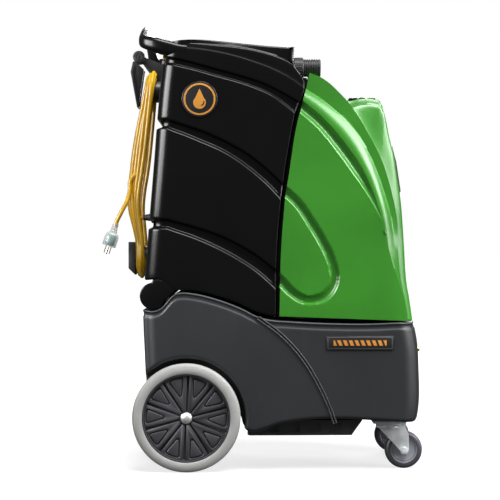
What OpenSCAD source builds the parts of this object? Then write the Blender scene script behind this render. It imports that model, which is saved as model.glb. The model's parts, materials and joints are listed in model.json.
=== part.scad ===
// Carpet cleaner: a tip-back recovery tank over a solution tank on wheels.
// +X is forward, +Y is the machine's left, +Z is up, and the origin is on the
// floor under the middle of the machine.

/* [Body] */
// Width of the tanks and the cover
body_w = 424; // [380:1:440]
// Wall of the moulded tanks
wall = 5; // [3:0.5:8]
// Wall of the front cover
cover_wall = 4; // [3:0.5:6]
// Height of the deck that the cover and the motors stand on
deck_z = 356; // [340:1:370]

/* [Hinge of the recovery tank] */
// Radius of the round hinge lobe
lobe_r = 31.6; // [26:0.2:34]
// Radius of the hinge pin
pin_r = 6; // [4:0.5:8]
// Running clearance of pins and axles, on the radius
run_gap = 0.08; // [0.02:0.01:0.1]

/* [Rear wheels] */
// Diameter of a rear wheel
wheel_d = 254; // [230:1:260]
// Width of a rear wheel
wheel_w = 44; // [30:1:48]
// Distance from the middle to a wheel's outer face
wheel_face_y = 225; // [222:1:240]
// Radius of the axle
axle_r = 9.5; // [6:0.5:12]

/* [Casters] */
// Diameter of a caster wheel
caster_d = 89; // [76:1:92]
// Width of a caster wheel
caster_w = 30; // [20:1:32]
// Distance of a caster's swivel axis from the middle
caster_y = 140; // [100:1:160]
// Trail of the caster wheel behind its swivel axis
trail = 35; // [28:1:38]

/* [Lid, hose inlet and drain] */
// Radius of the lid's mouth in the deck
mouth_r = 90; // [70:1:94]
// Inner radius of the vacuum hose cuff
hose_r = 19.05; // [15:0.05:20]
// Inner radius of the drain outlet
drain_r = 19; // [14:0.5:20]

/* [Controls] */
// Pitch of the rocker switches
rocker_pitch = 26; // [22:1:30]
// Radius of the pressure knob
knob_r = 13; // [9:0.5:15]

/* [Power cord] */
// Diameter of the cord
cord_d = 10.5; // [8:0.5:12]
// Radius of a hook's drum, which the cord goes round
drum_r = 26.5; // [22:0.5:28]

/* [Hidden] */
gauge_r = 19;
switch_l = 28;
switch_w = 18;
slot_z = 668;
slot_pitch = 22;
slot_hw = 60;
bracket_y = 143;
pocket_w = 65;
$fn = 64;
eps = 0.01;
hw = body_w / 2;
wheel_r = wheel_d / 2;
axle_x = -205;
axle_z = wheel_r;
rim_r = wheel_r - 23.5;
arch_r = wheel_r + 16;
well_y = wheel_face_y - wheel_w - 13;
caster_r = caster_d / 2;
caster_x = 275;
plate_top = 115;
base_bottom = plate_top;
hinge_x = -283;
hinge_z = 412;
lobe_in_y = 110;
front_bow_r = 1032;
front_x = 356;
lid_x = -103;
lid_z = 1006.4;
lid_tilt = 3.9;
hose_z = 972;
hose_x = 52;
console_hw = 115;
console_top = 884;
panel_t = 3;
panel_x = 215;
hook_top_z = 913;
hook_low_z = 502;
hank_in = drum_r + 0.5;
hank_out = hank_in + 2.1 * cord_d;
knuckle_x = -331;
knuckle_z = 998;
pipe_x = -30;
pipe_r = 25;
pipe_foot_z = 404;
float_z = 868;
valve_y = 95;
valve_z = 500;
fill_x = 0;
fill_y = hw - 34;
fill_z = 285;
pocket_half = 50;
pocket_floor = 272;
pocket_h = 75;
throat_r = 22;
neck_r = 27;
socket_y = -85;
socket_z = 280;
gauge_y = -72;
knob_y = 72;

// The tail of the cord, from the hank to the plug
tail_points = [[-348, -46, 648], [-350, -52, 648], [-355, -60, 644], [-362, -66, 635],
    [-369, -69, 622], [-375, -70, 607], [-380, -70, 592], [-385, -70, 577]];
plug_top = [-385, -70, 577];
plug_tilt = 18;

// Side outlines, as points of X and Z
base_outline = [[-290, 160], [-302, 216], [-309, 386], [-247, 409], [-233, 422], [-210, 424],
    [-151, 409], [-92, 387], [-56, 380], [-21, 366], [7, 361], [12, deck_z], [342, deck_z],
    [353, 301], [front_x, 234], [front_x, 134], [345, base_bottom], [-10, base_bottom], [-40, 97],
    [-64, 98], [-72, 160]];
base_cavity = [[-284, 166], [-296, 216], [-301, 366], [-250, 368], [-228, 414], [-210, 417],
    [-151, 402], [-92, 380], [-56, 373], [-21, 359], [7, 354 - wall], [14, deck_z - wall],
    [318, deck_z - wall], [320, 300], [320, base_bottom + wall], [-55, base_bottom + wall], [-62, 166]];
tank_outline = [[-308, 440], [-266, 941], [-262, 975], [-256, 1003], [-241, 1012], [-200, 1013],
    [hose_x, 995.8], [hose_x, 945], [74, 941.7], [53, 838.5], [22, 646.4], [10.7, 503.6],
    [9, 412], [9, 365.5], [-21, 370.5], [-56, 384.5], [-92, 391.5], [-151, 413.5], [-210, 428.5],
    [-233, 427], [-250, 414], [-268, 420]];
tank_cavity = [[-301, 455], [-260.5, 941], [-257, 975], [-250, 1000], [-236, 1007], [-200, 1008],
    [hose_x - wall, 990.5], [hose_x - wall, 939], [67.5, 936], [47.8, 838.5], [17, 646.4],
    [5.6, 503.6], [4, 412], [4, 373.5], [-20, 376.5], [-54, 390.5], [-90, 397.5], [-149, 419.5],
    [-208, 434.5], [-240, 448]];
tank_rear = [[-308, 440], [-266, 941], [-262, 975], [-256, 1003], [-200, 1003], [-200, 440]];
cover_outline = [[15, deck_z], [15.5, 503], [27, 646], [58, 838], [79, 941], [88, 936], [108, 928],
    [132, 912], [172, 872], [194, 842], [226, 788], [253, 735], [269, 689], [281, 640], [290, 600],
    [293, 503], [298, 443], [317, deck_z]];
cover_cavity = [[0, deck_z - 20], [0, 520], [10, 700], [40, 860], [52, 941 - 12], [88, 931], [106, 923],
    [129, 908], [168, 869], [190, 839], [222, 785], [249, 733], [264.5, 688], [276.5, 639],
    [285.6, 599], [288.8, 502], [293.6, 442], [312.5, deck_z - 1]];
console_outline = [[178, 700], [178, console_top], [246, console_top], [254, 881], [264, 868],
    [279, 796], [285, 773], [295, 733], [306, 661], [313, 604], [313, 551], [319, 468], [321, 432],
    [333, deck_z], [250, deck_z]];
console_cavity = [[182, 690], [182, console_top - cover_wall], [245, console_top - cover_wall],
    [251, 877], [260, 866], [275, 795], [291, 732], [302, 660], [308.8, 603], [308.8, 551],
    [315, 467], [317, 431], [328.5, deck_z - 1], [200, deck_z - 1]];

// Extrudes a side outline across the machine
module across(points, half) {
    translate([0, half, 0]) rotate([90, 0, 0]) linear_extrude(2 * half) polygon(points);
}

// A cylinder along Y, from y0 to y1
module rod_y(x, z, r, y0, y1) {
    translate([x, y1, z]) rotate([90, 0, 0]) cylinder(h = y1 - y0, r = r);
}

// A cylinder along X, from x0 to x1
module rod_x(y, z, r, x0, x1) {
    translate([x0, y, z]) rotate([0, 90, 0]) cylinder(h = x1 - x0, r = r);
}

module base_tank() {
    color("#2d2f33") difference() {
        intersection() {
            across(base_outline, hw);
            translate([front_x - front_bow_r, 0, 0]) cylinder(h = 500, r = front_bow_r, $fn = 256);
        }
        // the solution space, which leaves the wheel wells and the fill pocket out
        difference() {
            across(base_cavity, hw - wall);
            for (s = [-1, 1]) rod_y(axle_x, axle_z, arch_r + wall,
                s > 0 ? well_y - wall : -hw - 1, s > 0 ? hw + 1 : wall - well_y);
            translate([fill_x - pocket_half - wall, hw - pocket_w - wall, pocket_floor - wall])
                cube([2 * pocket_half + 2 * wall, 80, 120]);
        }
        // wheel wells
        for (s = [-1, 1]) rod_y(axle_x, axle_z, arch_r, s > 0 ? well_y : -hw - 1, s > 0 ? hw + 1 : -well_y);
        // the cradle of the hinge lobe
        rod_y(hinge_x, hinge_z, lobe_r + 1.2, -hw - 1, hw + 1);
        // fill pocket and its throat into the tank
        translate([fill_x - pocket_half, hw - pocket_w, pocket_floor]) cube([2 * pocket_half, 70, pocket_h]);
        translate([fill_x, fill_y, pocket_floor - 20]) cylinder(h = 40, r = throat_r);
        // recess of the solution connector
        translate([front_x - 28, socket_y - 30, socket_z - 30]) cube([40, 60, 60]);
    }
    // fill neck
    color("#2d2f33") translate([fill_x, fill_y, pocket_floor - eps]) difference() {
        cylinder(h = fill_z - pocket_floor + 13, r = neck_r);
        translate([0, 0, -1]) cylinder(h = 40, r = throat_r);
    }
}

module base_skid() {
    skid_hw = 150;
    rail = 12;
    color("#232427") difference() {
        across([[-62, 80], [-56, 78], [186, 79], [212, base_bottom], [-62, base_bottom]], skid_hw);
        // shallow pockets along the sides
        for (s = [-1, 1], i = [0:3]) translate([-18 + i * 50, s * skid_hw - 5, 86]) cube([30, 10, 24]);
        translate([-62 + rail, rail - skid_hw, 60]) cube([226, 2 * (skid_hw - rail), 45]);
        across(base_outline, hw);
    }
}

module front_cover() {
    color("#3c912a") difference() {
        union() {
            across(cover_outline, hw);
            across(console_outline, console_hw);
        }
        across(cover_cavity, hw - cover_wall);
        across(console_cavity, console_hw - cover_wall);
        // holes of the switches, the knob and the gauge
        for (i = [-1:1]) translate([panel_x - switch_l / 2, i * rocker_pitch - switch_w / 2, console_top - 10])
            cube([switch_l, switch_w, 20]);
        translate([panel_x, gauge_y, console_top - 10]) cylinder(h = 20, r = gauge_r);
        translate([panel_x, knob_y, console_top - 10]) cylinder(h = 20, r = 9);
        // air slots behind the vent panel
        for (i = [0:4]) translate([260, -slot_hw, slot_z + i * slot_pitch]) cube([60, 2 * slot_hw, 8]);
    }
}

module control_panel() {
    color("#1d1e20") difference() {
        translate([panel_x - 32, -105, console_top]) cube([63, 210, panel_t]);
        for (i = [-1:1]) translate([panel_x - switch_l / 2, i * rocker_pitch - switch_w / 2, console_top - 1])
            cube([switch_l, switch_w, 9]);
        translate([panel_x, gauge_y, console_top - 1]) cylinder(h = 9, r = gauge_r);
        translate([panel_x, knob_y, console_top - 1]) cylinder(h = 9, r = 9);
    }
    // bush of the pressure knob
    color("#1d1e20") translate([panel_x, knob_y, console_top - 30]) difference() {
        cylinder(h = 30 + panel_t, r = 9);
        translate([0, 0, 6]) cylinder(h = 40, r = 4 + run_gap);
    }
}

module pressure_gauge() {
    color("silver") translate([panel_x, gauge_y, 0]) difference() {
        union() {
            translate([0, 0, console_top - 26]) cylinder(h = 26 + panel_t, r = gauge_r);
            translate([0, 0, console_top + panel_t]) cylinder(h = 3, r = gauge_r + 2.5);
        }
        translate([0, 0, console_top + panel_t]) cylinder(h = 9, r = gauge_r - 1);
    }
}

module switch_housings() {
    color("#161616") for (i = [-1:1]) translate([panel_x, i * rocker_pitch, 0]) difference() {
        translate([-switch_l / 2, -switch_w / 2, console_top - 24]) cube([switch_l, switch_w, 24 + panel_t]);
        translate([0.8 - switch_l / 2, 1 - switch_w / 2, console_top - 8])
            cube([switch_l - 1.6, switch_w - 2, 20]);
    }
}

module rocker(i) {
    color("#b02020") translate([panel_x, i * rocker_pitch + 7.5, console_top + 1]) rotate([90, 0, 0])
        linear_extrude(15) polygon([[-11, -5], [-11, 5], [0, 3], [11, 5], [11, -5]]);
    // trunnions on the tilt axis
    color("#b02020") rod_y(panel_x, console_top + 1, 2, i * rocker_pitch - 7.9, i * rocker_pitch + 7.9);
}

module pressure_knob() {
    color("#1a1a1a") translate([panel_x, knob_y, 0]) {
        translate([0, 0, console_top + panel_t + 0.5]) cylinder(h = 9, r = knob_r);
        translate([0, 0, console_top - 22]) cylinder(h = 26, r = 4);
    }
}

module vent_panel() {
    color("#3a3c3f") difference() {
        across([[280, 770], [290.5, 772], [300.5, 733.5], [311, 663], [306.5, 657.8], [290, 660]], 75);
        across(console_outline, console_hw);
        for (i = [0:4]) translate([260, -slot_hw, slot_z + i * slot_pitch]) cube([60, 2 * slot_hw, 8]);
    }
}

module nameplate() {
    color("#d9932e") translate([123.5, -hw - 1.5, 286.5]) cube([156, 1.5, 32]);
}

module badge() {
    color("#e09a30") translate([-174, -hw, 873]) rotate([90, 0, 0]) cylinder(h = 1.5, r = 42);
}

module axle() {
    color("silver") rod_y(axle_x, axle_z, axle_r, 8 - wheel_face_y, wheel_face_y - 8);
}

module axle_brackets() {
    foot = axle_z - axle_r - 9.5;
    color("#505357") for (s = [-1, 1]) difference() {
        translate([0, s * bracket_y, 0]) union() {
            across([[axle_x - 26, 160], [axle_x - axle_r - 10.5, foot], [axle_x + axle_r + 10.5, foot],
                [axle_x + 26, 160]], 3);
            translate([axle_x - 26, -15 - s * 12, 156]) cube([52, 30, 4]);
        }
        rod_y(axle_x, axle_z, axle_r, s * bracket_y - 9, s * bracket_y + 9);
    }
}

module axle_spacers() {
    color("#8a8d92") for (s = [-1, 1]) difference() {
        rod_y(axle_x, axle_z, axle_r + 5, s > 0 ? 146 : 0.5 - well_y - 13, s > 0 ? well_y + 12.5 : -146);
        rod_y(axle_x, axle_z, axle_r, s > 0 ? 140 : -200, s > 0 ? 200 : -140);
    }
}

module axle_caps() {
    color("silver") for (s = [-1, 1]) translate([axle_x, s * (wheel_face_y - 8), axle_z])
        rotate([s > 0 ? -90 : 90, 0, 0]) intersection() {
            cylinder(h = 7, r = axle_r + 3.5);
            translate([0, 0, -12]) sphere(r = 19.2);
        }
}

// A rear wheel on the side s: the disc with ten ribs, then its tyre
module wheel_rim(s) {
    half = wheel_w / 2;
    bore = axle_r + run_gap;
    color("#3c3c43") translate([axle_x, s * (wheel_face_y - half), axle_z]) rotate([-90 * s, 0, 0]) {
        rotate_extrude($fn = 96) polygon([[bore, 0.5 - half], [24, 0.5 - half], [24, -4], [rim_r - 6.5, -4],
            [rim_r - 6.5, 2 - half], [rim_r, 2 - half], [rim_r, half - 2], [rim_r - 6.5, half - 2],
            [rim_r - 6.5, 4], [24, 4],
            [24, half - 8.5], [bore, half - 8.5]]);
        for (i = [0:9]) rotate([0, 0, 87 - i * 36]) translate([22, -3, 7 - half]) cube([rim_r - 25.5, 6, wheel_w - 17]);
    }
}

module wheel_tyre(s) {
    mid = s * (wheel_face_y - wheel_w / 2);
    color("#b9b9b4") translate([axle_x, mid, axle_z]) rotate([90, 0, 0]) rotate_extrude($fn = 96)
        polygon([[rim_r, -wheel_w / 2], [wheel_r - 5, -wheel_w / 2], [wheel_r, 6 - wheel_w / 2],
            [wheel_r, wheel_w / 2 - 6], [wheel_r - 5, wheel_w / 2], [rim_r, wheel_w / 2]]);
}

module caster_plates() {
    color("#c9ccd0") for (s = [-1, 1]) translate([caster_x, s * caster_y, 0]) {
        translate([-39, -36, plate_top - 6]) cube([78, 72, 6]);
        translate([0, 0, plate_top - 12]) cylinder(h = 6, r = 28);
        translate([0, 0, plate_top - 24]) cylinder(h = 13, r = 6);
        translate([0, 0, plate_top - 27]) cylinder(h = 4, r = 9);
    }
}

module caster_fork(s) {
    gap = caster_w / 2 + 4;
    crown = plate_top - 12.4;
    leg = [[-30, crown], [trail + 1, crown], [trail + 11, crown - 20], [trail + 11, caster_r],
        [trail + 6, caster_r - 10], [trail - 6, caster_r - 10], [trail - 10, caster_r]];
    color("#c9ccd0") translate([caster_x, s * caster_y, 0]) difference() {
        union() {
            translate([0, 0, crown - 6]) cylinder(h = 6, r = 30);
            translate([-10, -gap - 3, crown - 6]) cube([trail + 10, 2 * gap + 6, 6]);
            for (t = [-1, 1]) translate([0, t * (gap + 1.5), 0]) across(leg, 1.5);
        }
        translate([0, 0, 60]) cylinder(h = 60, r = 6 + run_gap);
        rod_y(trail, caster_r, 4, -40, 40);
        // the tyre's clearance under the crown
        rod_y(trail, caster_r, caster_r + 3, -caster_w / 2 - 2, caster_w / 2 + 2);
    }
}

module caster_axle(s) {
    gap = caster_w / 2 + 4;
    color("#d5d8dc") translate([caster_x, s * caster_y, 0]) {
        rod_y(trail, caster_r, 4, -gap - 3, gap + 3);
        rod_y(trail, caster_r, 8, -gap - 7, -gap - 3);
        rod_y(trail, caster_r, 8, gap + 3, gap + 7);
    }
}

module caster_core(s) {
    color("#9a9ca3") translate([caster_x + trail, s * caster_y, caster_r]) rotate([90, 0, 0]) difference() {
        union() {
            translate([0, 0, -caster_w / 2 + 3]) cylinder(h = caster_w - 6, r = 32);
            translate([0, 0, -caster_w / 2 - 3.5]) cylinder(h = caster_w + 7, r = 9);
        }
        translate([0, 0, -40]) cylinder(h = 80, r = 4 + run_gap);
    }
}

module caster_tyre(s) {
    color("#45434e") translate([caster_x + trail, s * caster_y, caster_r]) rotate([90, 0, 0])
        rotate_extrude() polygon([[32, -caster_w / 2], [caster_r - 6, -caster_w / 2],
            [caster_r, 8 - caster_w / 2], [caster_r, caster_w / 2 - 8], [caster_r - 6, caster_w / 2],
            [32, caster_w / 2]]);
}

module hinge_brackets() {
    foot = hinge_z - lobe_r - 4;
    color("#505357") for (s = [-1, 1]) difference() {
        translate([0, s * 97, 0]) union() {
            across([[-308, foot], [-300, 424], [-266, 424], [-256, foot]], 4);
        }
        rod_y(hinge_x, hinge_z, pin_r, s * 97 - 9, s * 97 + 9);
        // the foot follows the cradle
        difference() {
            translate([-340, -200, 340]) cube([110, 400, 60]);
            rod_y(hinge_x, hinge_z, lobe_r + 1.2, -210, 210);
        }
    }
}

module hinge_pin() {
    color("silver") rod_y(hinge_x, hinge_z, pin_r, 8 - hw, hw - 8);
}

module vacuum_motors() {
    color("#3b4046") for (s = [-1, 1]) translate([92, s * 98, deck_z]) {
        cylinder(h = 62, r = 72);
        translate([0, 0, 62 - eps]) cylinder(h = 14, r = 66);
        translate([0, 0, 76 - 2 * eps]) cylinder(h = 84, r = 52);
        translate([0, 0, 160 - 3 * eps]) cylinder(h = 14, r = 24);
    }
}

module exhaust_muffler() {
    color("#2a2c2e") rod_x(0, deck_z + 34, 34, 184, 270);
    color("#2a2c2e") translate([196, -30, deck_z]) cube([60, 60, 14]);
}

module pump() {
    color("#7d2f28") {
        rod_y(236, deck_z + 42, 40, 50, 140);
        translate([206, 62, deck_z]) cube([60, 68, 22]);
        translate([204, 140 - eps, deck_z + 8]) cube([64, 42, 68]);
    }
}

module heater() {
    color("#a9adb2") difference() {
        translate([200, -176, deck_z]) cube([72, 112, 140]);
        for (i = [0:5]) translate([196, -168 + i * 18, deck_z + 20]) cube([8, 8, 100]);
    }
}

module component_panel() {
    color("#c4c7cb") translate([176, -100, deck_z]) cube([4, 200, 460]);
}

module wiring_box() {
    color("#d8d9d6") difference() {
        translate([180, -78, 600]) cube([48, 156, 118]);
        translate([186, -72, 606]) cube([50, 144, 106]);
    }
}

module solution_lines() {
    line_r = 5;
    color("#b87333") difference() {
        translate([236, 110, deck_z + 72]) cylinder(h = 90.5, r = line_r);
        rod_y(236, deck_z + 42, 40, 50, 140);
    }
    color("#b87333") {
        rod_y(236, deck_z + 158, line_r, -120, 110 + eps);
        translate([236, -120, deck_z + 140]) cylinder(h = 18 + line_r, r = line_r);
    }
}

// The male solution connector, with a collar that slides back
module quick_connect() {
    color("#c8a34a") {
        rod_x(socket_y, socket_z, 13, front_x - 28, front_x - 22);
        rod_x(socket_y, socket_z, 7, front_x - 22 - eps, front_x - 10);
        rod_x(socket_y, socket_z, 5.95, front_x - 10 - eps, front_x - 1);
    }
}

module connect_collar() {
    color("#d9b65a") difference() {
        rod_x(socket_y, socket_z, 11.5, front_x - 17, front_x - 9);
        rod_x(socket_y, socket_z, 7 + run_gap, front_x - 30, front_x);
    }
}

module recovery_tank() {
    pocket_z = 446;
    color("#121214") difference() {
        union() {
            across(tank_outline, hw);
            for (s = [-1, 1]) rod_y(hinge_x, hinge_z, lobe_r, s > 0 ? lobe_in_y : -hw, s > 0 ? hw : -lobe_in_y);
            // handle arms, and the crowned bar between them
            for (s = [-1, 1]) translate([0, s * (hw - 14), 0])
                across([[-252, 1008], [-272, 1016], [-304, 1026], [-315, 1011], [-308, 995], [-285, 982],
                    [-258, 974]], 14);
            translate([-321, 0, 0]) rotate([90, 0, 90]) linear_extrude(27) polygon([[-hw, 998], [-hw, 1024],
                [-150, 1050], [-75, 1068], [0, 1074], [75, 1068], [150, 1050], [hw, 1024], [hw, 998],
                [150, 1022], [75, 1040], [0, 1046], [-75, 1040], [-150, 1022]]);
        }
        difference() {
            across(tank_cavity, hw - wall);
            translate([pipe_x, 0, 300]) cylinder(h = pipe_foot_z - 300, r = pipe_r + 5);
        }
        // room for the hinge brackets
        translate([-330, -lobe_in_y, 360]) cube([90, 2 * lobe_in_y, pocket_z - 360]);
        rod_y(hinge_x, hinge_z, pin_r + run_gap, 6 - hw, hw - 6);
        // mouth, hose inlet, drain and vacuum passage
        translate([lid_x, 0, lid_z]) rotate([0, lid_tilt, 0]) translate([0, 0, -30])
            cylinder(h = 60, r = mouth_r);
        rod_x(0, hose_z, hose_r, hose_x - 20, hose_x + 20);
        rod_x(valve_y, valve_z, drain_r, -330, -280);
        translate([pipe_x, 0, 300]) cylinder(h = 200, r = pipe_r - 4);
    }
}

module lid_ring() {
    color("#1b1b1d") translate([lid_x, 0, lid_z]) rotate([0, lid_tilt, 0]) difference() {
        translate([0, 0, 0]) cylinder(h = 5, r = mouth_r + 14);
        translate([0, 0, -1]) cylinder(h = 9, r = mouth_r);
    }
}

module lid() {
    color("#18181a") translate([lid_x, 0, lid_z]) rotate([0, lid_tilt, 0]) difference() {
        union() {
            translate([0, 0, -14]) cylinder(h = 22, r = mouth_r - 0.6);
            translate([0, 0, 5.4]) cylinder(h = 3, r = mouth_r + 8);
        }
        translate([0, 0, -20]) cylinder(h = 22, r = mouth_r - 6);
        for (s = [-1, 1]) translate([0, s * 45, 4]) cylinder(h = 9, r = 22);
    }
}

module inlet_nut() {
    color("#1b1b1d") difference() {
        rod_x(0, hose_z, 26, hose_x, hose_x + 25);
        rod_x(0, hose_z, hose_r, hose_x - 1, hose_x + 26);
    }
}

module inlet_cuff() {
    ribs = 6;
    color("#18191b") difference() {
        union() {
            rod_x(0, hose_z, hose_r + 2, hose_x + 25, hose_x + 67);
            for (i = [0:ribs - 1]) rod_x(0, hose_z, hose_r + 3, hose_x + 26 + i * 7, hose_x + 30 + i * 7);
        }
        rod_x(0, hose_z, hose_r, hose_x, hose_x + 90);
    }
}

module standpipe() {
    color("#d8dbe0") translate([pipe_x, 0, pipe_foot_z]) difference() {
        cylinder(h = float_z - pipe_foot_z, r = pipe_r);
        translate([0, 0, -1]) cylinder(h = 600, r = pipe_r - 3);
    }
}

module float_cage() {
    color("#e4e6e8") translate([pipe_x, 0, float_z]) {
        difference() {
            cylinder(h = 5, r = pipe_r + 5);
            translate([0, 0, -1]) cylinder(h = 9, r = 15);
        }
        for (i = [0:3]) rotate([0, 0, 45 + i * 90]) translate([pipe_r + 1.5, 0, 4.9]) cylinder(h = 85, r = 2.5);
        translate([0, 0, 89]) difference() {
            cylinder(h = 4, r = pipe_r + 5);
            translate([0, 0, -1]) cylinder(h = 9, r = 10);
        }
    }
}

module float_ball() {
    color("#e8b23a") translate([pipe_x, 0, float_z + 5 + 18.3]) sphere(r = 22);
}

module drain_valve() {
    color("#6d7076") difference() {
        union() {
            rod_x(valve_y, valve_z, 24, -346, -303);
            rod_x(valve_y, valve_z, 32, -309, -299);
            translate([-328, valve_y, valve_z]) cylinder(h = 32, r = 9);
        }
        rod_x(valve_y, valve_z, drain_r, -360, -290);
        translate([-328, valve_y, valve_z + 20]) cylinder(h = 20, r = 4 + run_gap);
        across(tank_rear, 130);
    }
}

module drain_handle() {
    color("#b3202a") translate([-328, valve_y, valve_z + 32.4]) {
        translate([0, 0, -11]) cylinder(h = 12, r = 4);
        cylinder(h = 6, r = 10);
        translate([-7, 0, 0]) cube([14, 62, 6]);
    }
}

// The arm of the upper hook with its drum, and the knuckle of the flap
module upper_hook() {
    color("#303236") difference() {
        union() {
            rod_x(0, hook_top_z, drum_r, -312, -270);
            across([[-264, 930], [-267, 978], [-322, 1000], [-328, 1014], [-340, 1010], [-340, 988],
                [-322, 982], [-292, 940], [-292, 925], [-268, 925]], 9);
        }
        rod_y(knuckle_x, knuckle_z, 4 + run_gap, -20, 20);
        // the tank's sloping wall
        across(tank_rear, 60);
    }
    color("silver") rod_y(knuckle_x, knuckle_z, 4 + run_gap, -9.05, 9.05);
    color("silver") for (s = [-1, 1]) rod_y(knuckle_x, knuckle_z, 4, s > 0 ? 9 : -21, s > 0 ? 21 : -9);
}

module hook_flap() {
    color("#26282b") difference() {
        union() {
            for (s = [-1, 1]) rod_y(knuckle_x, knuckle_z, 15, s > 0 ? 9.5 : -20, s > 0 ? 20 : -9.5);
            across([[-337, 984.6], [-345, 986], [-351, 960], [-335, 873], [-331, 873], [-344, 958]], 28);
            // side flanges, inside the cord's loop
            for (s = [-1, 1]) translate([0, s * 21, 0])
                across([[-337, 984], [-346, 978], [-350, 960], [-335, 874], [-331, 874], [-320, 955], [-318, 966]], 2);
        }
        for (s = [-1, 1]) rod_y(knuckle_x, knuckle_z, 4 + run_gap, s > 0 ? 9 : -21, s > 0 ? 21 : -9);
    }
}

module lower_hook() {
    color("#303236") difference() {
        union() {
            rod_x(0, hook_low_z, drum_r, -339 - eps, -290);
            across([[-339, 458], [-356, 475], [-356, 540], [-339, 540]], 30);
        }
        across(tank_rear, 60);
    }
}

module cord_gland() {
    gland_x = -296;
    color("#1c1c1e") difference() {
        union() {
            rod_x(-38, 600, 14, gland_x - 8, gland_x + 6);
            translate([gland_x - 8 + eps, -38, 600]) rotate([0, -90, 0]) cylinder(h = 16, r1 = 10, r2 = 7);
        }
        across(tank_rear, 60);
    }
}

// A stadium of half width r between the two drums, as a shape in Y and Z
module stadium(r) {
    union() {
        translate([-r, hook_low_z]) square([2 * r, hook_top_z - hook_low_z]);
        translate([0, hook_low_z]) circle(r = r);
        translate([0, hook_top_z]) circle(r = r);
    }
}

module cord_hank() {
    color("#f0be14") intersection() {
        translate([-400, 0, 0]) rotate([90, 0, 90]) linear_extrude(150) difference() {
            stadium(hank_out);
            stadium(hank_in);
        }
        across([[-309, 975], [-281, 975], [-306, 737], [-320, 620], [-312, 545], [-312, 440], [-338, 440],
            [-338, 545], [-358, 620], [-354, 737]], 80);
    }
}

function minus(a, b) = [a[0] - b[0], a[1] - b[1], a[2] - b[2]];
function unit(a) = a / norm(a);
// One ring of a swept tube of radius r round the point c, with its plane across the direction d
function ring(c, d, r, n) = let (u = unit(cross(d, [0.3, 0.9, 0.1])), v = unit(cross(d, u)))
    [for (i = [0:n - 1]) c + r * cos(360 * i / n) * u + r * sin(360 * i / n) * v];

// Sweeps a closed tube along points; the first ring faces +Y and the last faces the plug
module tube(points, r, n, first, last) {
    count = len(points);
    dirs = [for (i = [0:count - 1]) i == 0 ? first : i == count - 1 ? last
        : unit(minus(points[i + 1], points[i - 1]))];
    verts = [for (i = [0:count - 1]) for (p = ring(points[i], dirs[i], r, n)) p];
    sides = [for (i = [0:count - 2]) for (j = [0:n - 1]) [i * n + j, i * n + (j + 1) % n,
        (i + 1) * n + (j + 1) % n, (i + 1) * n + j]];
    polyhedron(verts, concat(sides, [[for (j = [n - 1:-1:0]) j]],
        [[for (j = [0:n - 1]) (count - 1) * n + j]]));
}

plug_axis = [-sin(plug_tilt), 0, -cos(plug_tilt)];

module cord_tail() {
    color("#f0be14") tube(tail_points, cord_d / 2, 12, [0, -1, 0], plug_axis);
}

// Puts children at the top of the plug, with +Z pointing along it
module on_plug() {
    translate(plug_top) rotate([0, 180 + plug_tilt, 0]) children();
}

module plug_body() {
    color("#cfd8d6") on_plug() {
        cylinder(h = 16, r1 = 8, r2 = 10);
        translate([0, 0, 16 - eps]) cylinder(h = 34, r = 17);
    }
}

module plug_blades() {
    color("#d8c890") on_plug() translate([0, 0, 50 - eps]) {
        for (s = [-1, 1]) translate([-0.8 + s * 6.35, -3, 0]) cube([1.6, 6.3, 18]);
        translate([0, -10, 0]) cylinder(h = 20, r = 2.4);
    }
}

module fill_cap() {
    color("#2b5fa8") translate([fill_x, fill_y, fill_z]) difference() {
        cylinder(h = 18, r = 31);
        translate([0, 0, -1]) cylinder(h = 14.5, r = 27.4);
    }
}

base_tank();
base_skid();
front_cover();
control_panel();
pressure_gauge();
switch_housings();
vent_panel();
nameplate();
axle();
axle_brackets();
axle_spacers();
axle_caps();
hinge_brackets();
hinge_pin();
caster_plates();
vacuum_motors();
exhaust_muffler();
pump();
heater();
component_panel();
wiring_box();
solution_lines();
quick_connect();
recovery_tank();
lid_ring();
inlet_nut();
inlet_cuff();
standpipe();
float_cage();
drain_valve();
upper_hook();
lower_hook();
cord_gland();
badge();
cord_hank();
cord_tail();
plug_body();
plug_blades();
lid();
float_ball();
drain_handle();
hook_flap();
rocker(-1);  // rocker_1
rocker(0);  // rocker_2
rocker(1);  // rocker_3
pressure_knob();
fill_cap();
connect_collar();
wheel_rim(-1);  // wheel_right_rim
wheel_tyre(-1);  // wheel_right_tyre
wheel_rim(1);  // wheel_left_rim
wheel_tyre(1);  // wheel_left_tyre
caster_fork(-1);  // caster_right_fork
caster_axle(-1);  // caster_right_axle
caster_core(-1);  // caster_right_core
caster_tyre(-1);  // caster_right_tyre
caster_fork(1);  // caster_left_fork
caster_axle(1);  // caster_left_axle
caster_core(1);  // caster_left_core
caster_tyre(1);  // caster_left_tyre
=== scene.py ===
import json
import math

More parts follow.
